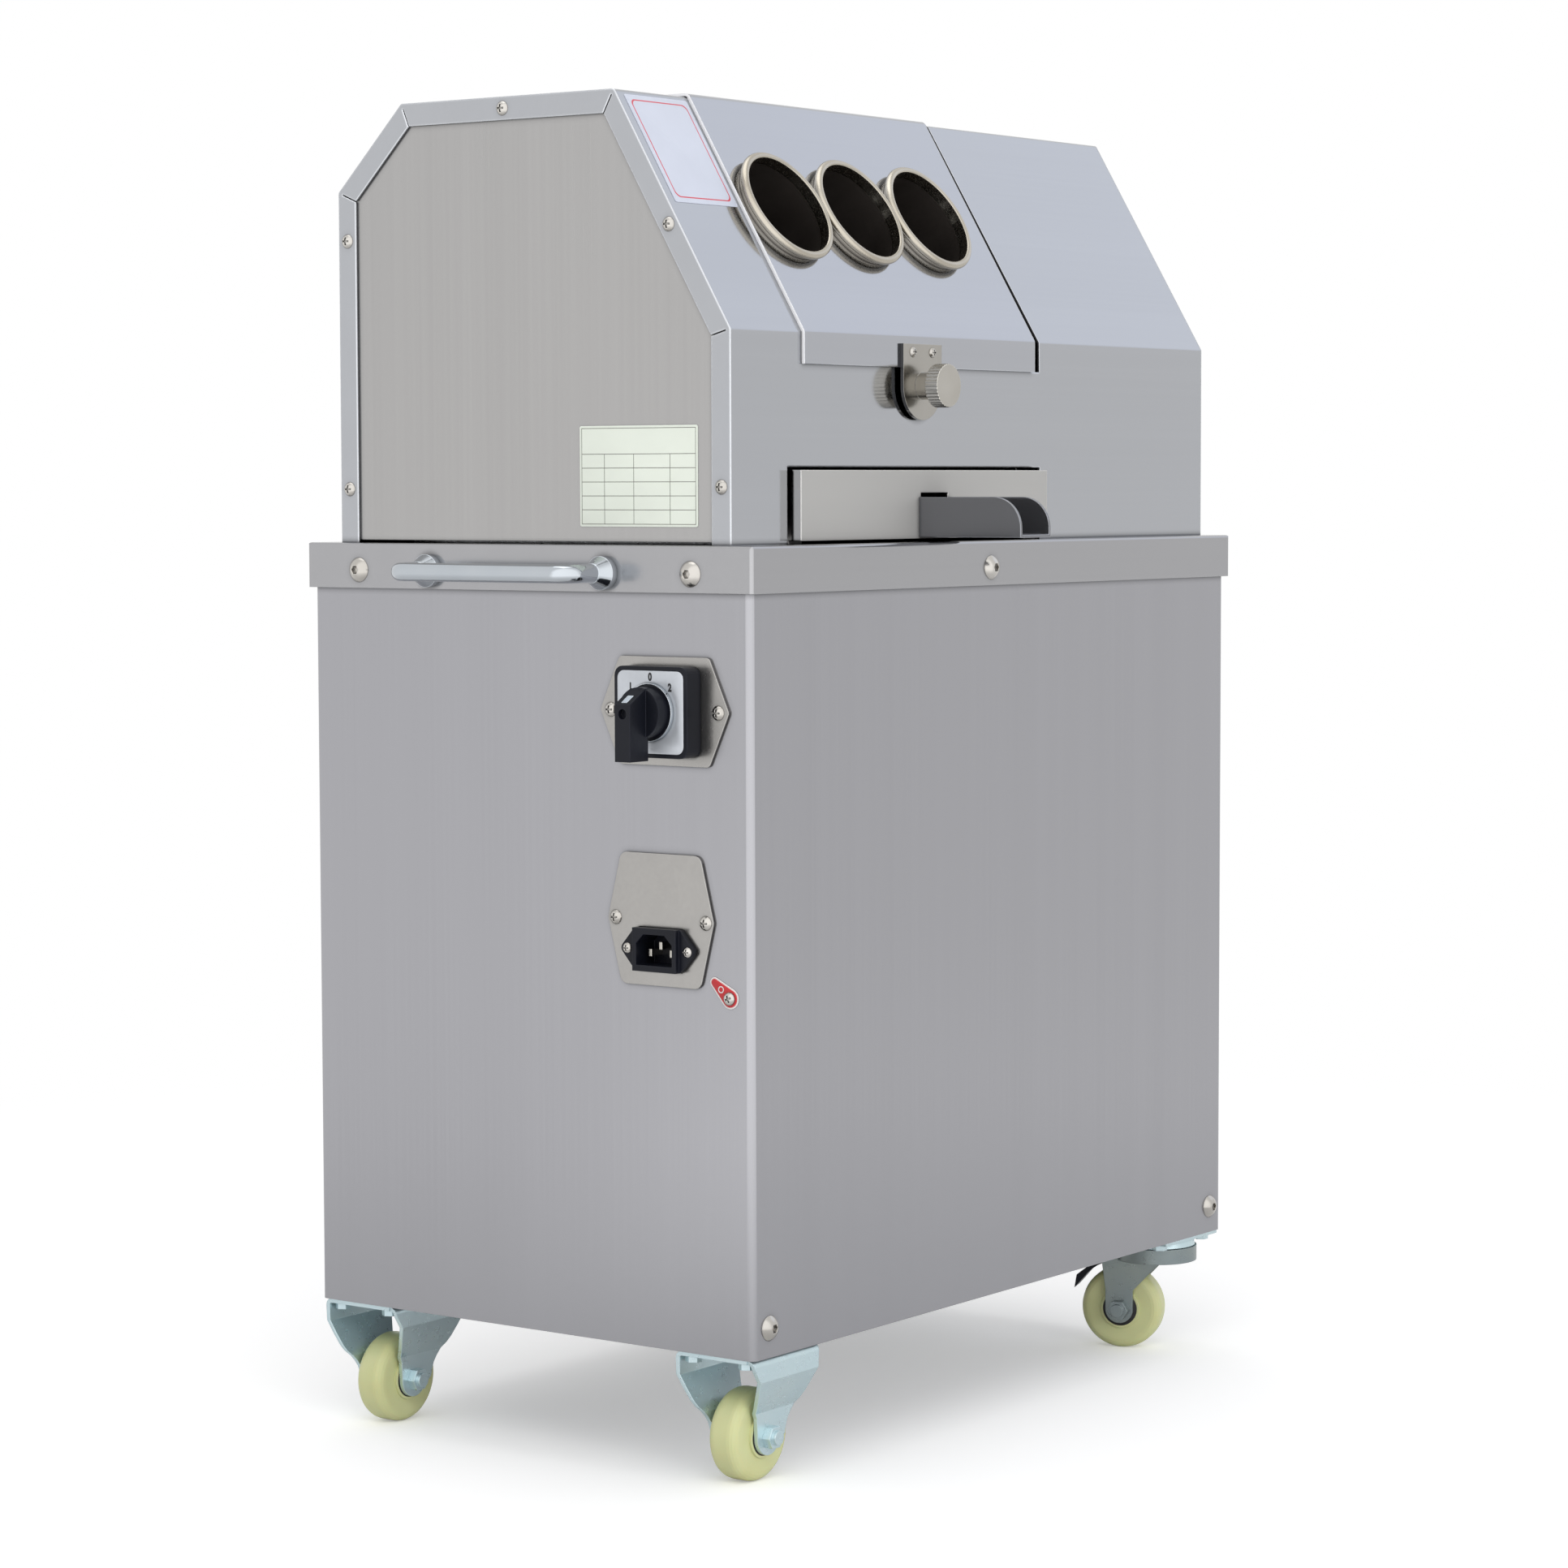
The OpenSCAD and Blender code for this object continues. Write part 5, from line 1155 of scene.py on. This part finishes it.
@dataclass
class EarthTag:
    """The red earth tag beside the inlet: a tapered slip with a pale edge and a pale ring, under its screw.

    Its places are depth from the cabinet's middle and height over the floor.
    """

    spot: Point = (-0.1379, 0.2631)
    tip: Point = (-0.1278, 0.2711)
    radius: float = 0.0046
    tip_radius: float = 0.0019
    edge: float = 0.0009
    thickness: float = 0.0003
    ring: Point = (0.0019, 0.0013)
    ring_share: float = 0.56
    ring_high: float = 0.00008
    screw: float = 0.0035
    screw_high: float = 0.0021
    screw_wall: float = 0.0005
    slot: Point = (1.15, 0.3)
    slot_turns: tuple[float, ...] = (20.0, 110.0)
    round_steps: int = 32
    end_steps: int = 24
    dome_steps: int = 6

    def heading(self) -> Vector:
        """Gives the way from the screw to the middle of the tag's small end, on the wall."""
        return Vector((self.spot[0] - self.tip[0], self.tip[1] - self.spot[1]))

    def outline(self, grow: float = 0.0) -> list[Point]:
        """Gives the tag's points about its screw, grown by a rim.

        Args:
            grow: How far the outline is moved out.

        Returns:
            The points, anticlockwise.
        """
        way = self.heading()
        turn = math.atan2(way.y, way.x)
        lean = math.acos((self.radius - self.tip_radius) / way.length)
        big = arc((0.0, 0.0), self.radius + grow, turn + lean, math.tau - 2 * lean, self.end_steps)
        return big + arc(way, self.tip_radius + grow, turn - lean, 2 * lean, self.end_steps)

    def build(self) -> None:
        """Makes the tag's pale edge, its red face, its pale ring and its screw."""
        low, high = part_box("cabinet_shell")
        place = Side.LEFT.place((low.x, (low.y + high.y) / 2 + self.spot[0], self.spot[1]))
        thick, face = self.thickness, 2 * self.thickness
        piece("earth_tag_edge", cut_plate(0.0, thick, self.outline(self.edge)), place, TAG_EDGE, "machine")
        piece("earth_tag", cut_plate(thick, face, self.outline(), soft=thick / 3), place, TAG_RED, "machine")
        sign = self.heading() * self.ring_share
        outer, inner = (circle(radius, self.round_steps, sign) for radius in self.ring)
        ring = cut_plate(face, face + self.ring_high, outer, [inner])
        piece("earth_tag_ring", ring, place, TAG_EDGE, "machine")
        piece("earth_screw", self.screw_head(face), place, SCREW_STEEL, "machine")

    def screw_head(self, base: float) -> bmesh.types.BMesh:
        """Makes a pan head with a cross recess.

        Args:
            base: Height that it stands on.

        Returns:
            The screw head's mesh.
        """
        top, shoulder = base + self.screw_high, base + self.screw_wall
        dome = arc((0.0, 0.0), 1.0, math.radians(90), math.radians(-90), self.dome_steps)[1:]
        profile = [(0.0, top), *((self.screw * x, shoulder + (top - shoulder) * y) for x, y in dome)]
        profile += [(self.screw, base), (0.0, base)]
        holder = as_object("screw_blank", turned(profile, self.round_steps))
        for turn in self.slot_turns:
            cutter = bmesh.new()
            bmesh.ops.create_cube(cutter, size=1.0)
            sizes = (self.screw * self.slot[0], self.screw * self.slot[1], self.screw_high)
            bmesh.ops.scale(cutter, vec=sizes, verts=cutter.verts[:])
            spin = Matrix.Rotation(math.radians(turn), 3, "Z")
            bmesh.ops.rotate(cutter, matrix=spin, verts=cutter.verts[:])
            bmesh.ops.translate(cutter, vec=(0, 0, top), verts=cutter.verts[:])
            carve(holder, as_object("screw_slot", cutter))
        return taken(holder)


@dataclass
class WheelWashers:
    """The black washers between each wheel's hub and its fork."""

    radius: float = 0.0106
    bore: float = 0.0042
    proud: float = 0.00036
    shoulder: float = 0.6
    edge_break: float = 0.0003
    trail: float = math.radians(109)
    rigid: tuple[str, ...] = ("front_left_wheel", "rear_left_wheel")
    swivelled: tuple[str, ...] = ("front_right_wheel", "rear_right_wheel")

    def build(self) -> None:
        """Makes two washers for each wheel."""
        for wheel in self.rigid:
            self.pair(wheel, Vector((0.0, 1.0, 0.0)))
        for wheel in self.swivelled:
            self.pair(wheel, Vector((-math.sin(self.trail), math.cos(self.trail), 0.0)))

    def pair(self, wheel: str, along: Vector) -> None:
        """Makes the washers at both ends of a wheel's hub.

        Args:
            wheel: The wheel's node.
            along: Direction of its axle.
        """
        low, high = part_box(wheel)
        middle = (low + high) / 2
        reach = max((v.co - middle).dot(along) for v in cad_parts[wheel].data.vertices)
        profile = [(self.bore, 0.0), (self.radius, 0.0), (self.radius, self.proud * self.shoulder),
                   (self.radius - self.edge_break, self.proud), (self.bore, self.proud)]
        for out, end in ((along, "a"), (-along, "b")):
            right = Vector((0.0, 0.0, 1.0)).cross(out).normalized()
            place = axes(right, out.cross(right), out, middle + out * reach)
            piece(f"{wheel}_washer_{end}", turned(profile), place, RUBBER, wheel)


@dataclass(frozen=True)
class SoftLamp:
    """A soft lamp that faces the machine. Its radiance is how bright its face is, where 1 is white."""

    name: str
    spot: Spot
    size: Point
    radiance: float
    colour: Colour = WHITE
    mirrored: bool = True
    aim: Spot = (0.0, 0.0, 0.42)

    def hang(self) -> None:
        """Hangs the lamp, and keeps it out of what metal mirrors where asked."""
        light = bpy.data.lights.new(self.name, "AREA")
        light.shape = "RECTANGLE"
        light.size, light.size_y = self.size
        light.energy = self.radiance * math.pi * self.size[0] * self.size[1]
        light.color = self.colour
        holder = bpy.data.objects.new(self.name, light)
        bpy.context.scene.collection.objects.link(holder)
        holder.location = self.spot
        way = Vector(self.aim) - Vector(self.spot)
        holder.rotation_euler = way.to_track_quat("-Z", "Y").to_euler()
        holder.visible_glossy = self.mirrored


@dataclass
class Studio:
    """The pale floor, the white surround, the soft lamps and the camera, whose angles are in degrees."""

    floor_radius: float = 7.0
    floor_steps: int = 96
    floor_tint: Colour = shade(240, 240, 240)
    floor_lift: float = 0.28
    floor_tilt: Span = (-2.0, 2.0)
    clear_span: Span = (0.55, 1.35)
    fill: float = 0.7
    left_glow: float = 1.1
    right_glow: float = 0.95
    glow_tilt: Span = (-0.8, 0.8)
    bright_way: Spot = (-0.8, -0.59, 0.1)
    bright_span: Span = (0.35, 0.6)
    bright: float = 1.5
    sensor: float = 36.0
    focal: float = 96.18
    eye: Spot = (-1.9874, -1.42627, 0.53256)
    pitch: float = 4.113
    roll: float = -0.15
    heading: float = -53.917
    lamps: tuple[SoftLamp, ...] = (
        SoftLamp("key", (-2.0, -1.25, 2.1), (1.9, 1.3), 2.6, mirrored=False),
        SoftLamp("front_soft", (-0.95, -3.3, 0.8), (1.7, 1.8), 3.2, mirrored=False),
        SoftLamp("slope_wash", (2.6, -1.2, 2.1), (2.2, 1.6), 0.26, (0.65, 0.8, 1.15)),
        SoftLamp("top", (0.1, 0.3, 2.6), (1.6, 1.6), 1.2),
    )

    def build(self) -> None:
        """Makes the floor, the world, the lamps and the camera."""
        self.build_floor()
        self.build_world()
        for lamp in self.lamps:
            lamp.hang()
        self.build_camera()
        bpy.context.scene.view_settings.view_transform = "Standard"

    def seen(self, graph: Graph) -> Socket:
        """Tells the rays that see the surround from those that only light.

        Args:
            graph: The nodes of the floor or the world.

        Returns:
            1 for the rays that see it, else 0.
        """
        path = graph.add("ShaderNodeLightPath").outputs
        direct = graph.sum("MAXIMUM", path["Is Camera Ray"], path["Is Glossy Ray"])
        return graph.sum("MAXIMUM", direct, path["Is Transmission Ray"])

    def surround(self, graph: Graph, across: Socket, tilt: Span, way: Socket) -> Socket:
        """Gives the surround's strength: white to the camera, tilted and brighter where metal mirrors it.

        Args:
            graph: The nodes of the floor or the world.
            across: What tells left from right.
            tilt: Its values at the left and the right.
            way: The direction that is looked in, of length 1.

        Returns:
            The strength's socket.
        """
        facing = graph.vector("DOT_PRODUCT", way, self.bright_way)
        glow = graph.sum("MULTIPLY", graph.spread(across, self.left_glow, self.right_glow, *tilt),
                         graph.spread(facing, 1.0, self.bright, *self.bright_span))
        camera = graph.add("ShaderNodeLightPath").outputs["Is Camera Ray"]
        return graph.spread(camera, glow, 1.0)

    def build_floor(self) -> None:
        """Makes a wide pale floor that keeps the shadow and turns white further out."""
        bm = bmesh.new()
        bmesh.ops.create_circle(bm, cap_ends=True, radius=self.floor_radius, segments=self.floor_steps)
        floor = as_object("floor", bm)
        made, graph = new_material("pale_floor")
        place = graph.where()
        camera = graph.add("ShaderNodeLightPath").outputs["Is Camera Ray"]
        lift = graph.add("ShaderNodeEmission", {"Strength": graph.sum("MULTIPLY", camera, self.floor_lift)})
        near = graph.add("ShaderNodeAddShader")
        graph.feed(near.inputs[0], graph.add("ShaderNodeBsdfDiffuse", {"Color": self.floor_tint}).outputs[0])
        graph.feed(near.inputs[1], lift.outputs[0])
        way = graph.vector("NORMALIZE", place)
        strength = self.surround(graph, graph.split(place)[0], self.floor_tilt, way)
        far = graph.spread(graph.vector("LENGTH", place), 0.0, 1.0, *self.clear_span)
        mixed = graph.add("ShaderNodeMixShader")
        graph.feed(mixed.inputs[0], graph.sum("MULTIPLY", far, self.seen(graph)))
        graph.feed(mixed.inputs[1], near.outputs[0])
        graph.feed(mixed.inputs[2], graph.add("ShaderNodeEmission", {"Strength": strength}).outputs[0])
        graph.add("ShaderNodeOutputMaterial", {"Surface": mixed.outputs[0]})
        floor.data.materials.append(made)

    def build_world(self) -> None:
        """Makes a surround that is white to look at and gentler as light."""
        world = bpy.data.worlds.new("studio")
        world.use_nodes = True
        graph = Graph(world.node_tree)
        way = graph.add("ShaderNodeTexCoord").outputs["Generated"]
        shown = self.surround(graph, graph.split(way)[0], self.glow_tilt, way)
        strength = graph.spread(self.seen(graph), self.fill, shown)
        back = graph.add("ShaderNodeBackground", {"Color": WHITE, "Strength": strength})
        graph.add("ShaderNodeOutputWorld", {"Surface": back.outputs[0]})
        bpy.context.scene.world = world

    def build_camera(self) -> None:
        """Sets the camera where the photograph was taken from."""
        data = bpy.data.cameras.new("photo_camera")
        data.sensor_width = self.sensor
        data.lens = self.focal
        camera = bpy.data.objects.new("photo_camera", data)
        bpy.context.scene.collection.objects.link(camera)
        camera.location = self.eye
        look = Euler((math.radians(90 - self.pitch), 0.0, math.radians(self.heading))).to_matrix()
        camera.rotation_euler = (look @ Matrix.Rotation(math.radians(self.roll), 3, "Z")).to_euler()
        bpy.context.scene.camera = camera


def main() -> None:
    """Dresses the nodes and makes the trim, the light and the camera."""
    logging.basicConfig(level=logging.INFO, format="%(name)s: %(message)s")
    Studio().build()
    dress_nodes()
    for part in (HeadPlates(), LidHem(), SwitchDial(), EarthTag(), WheelWashers()):
        part.build()


if __name__ == "__main__":
    main()
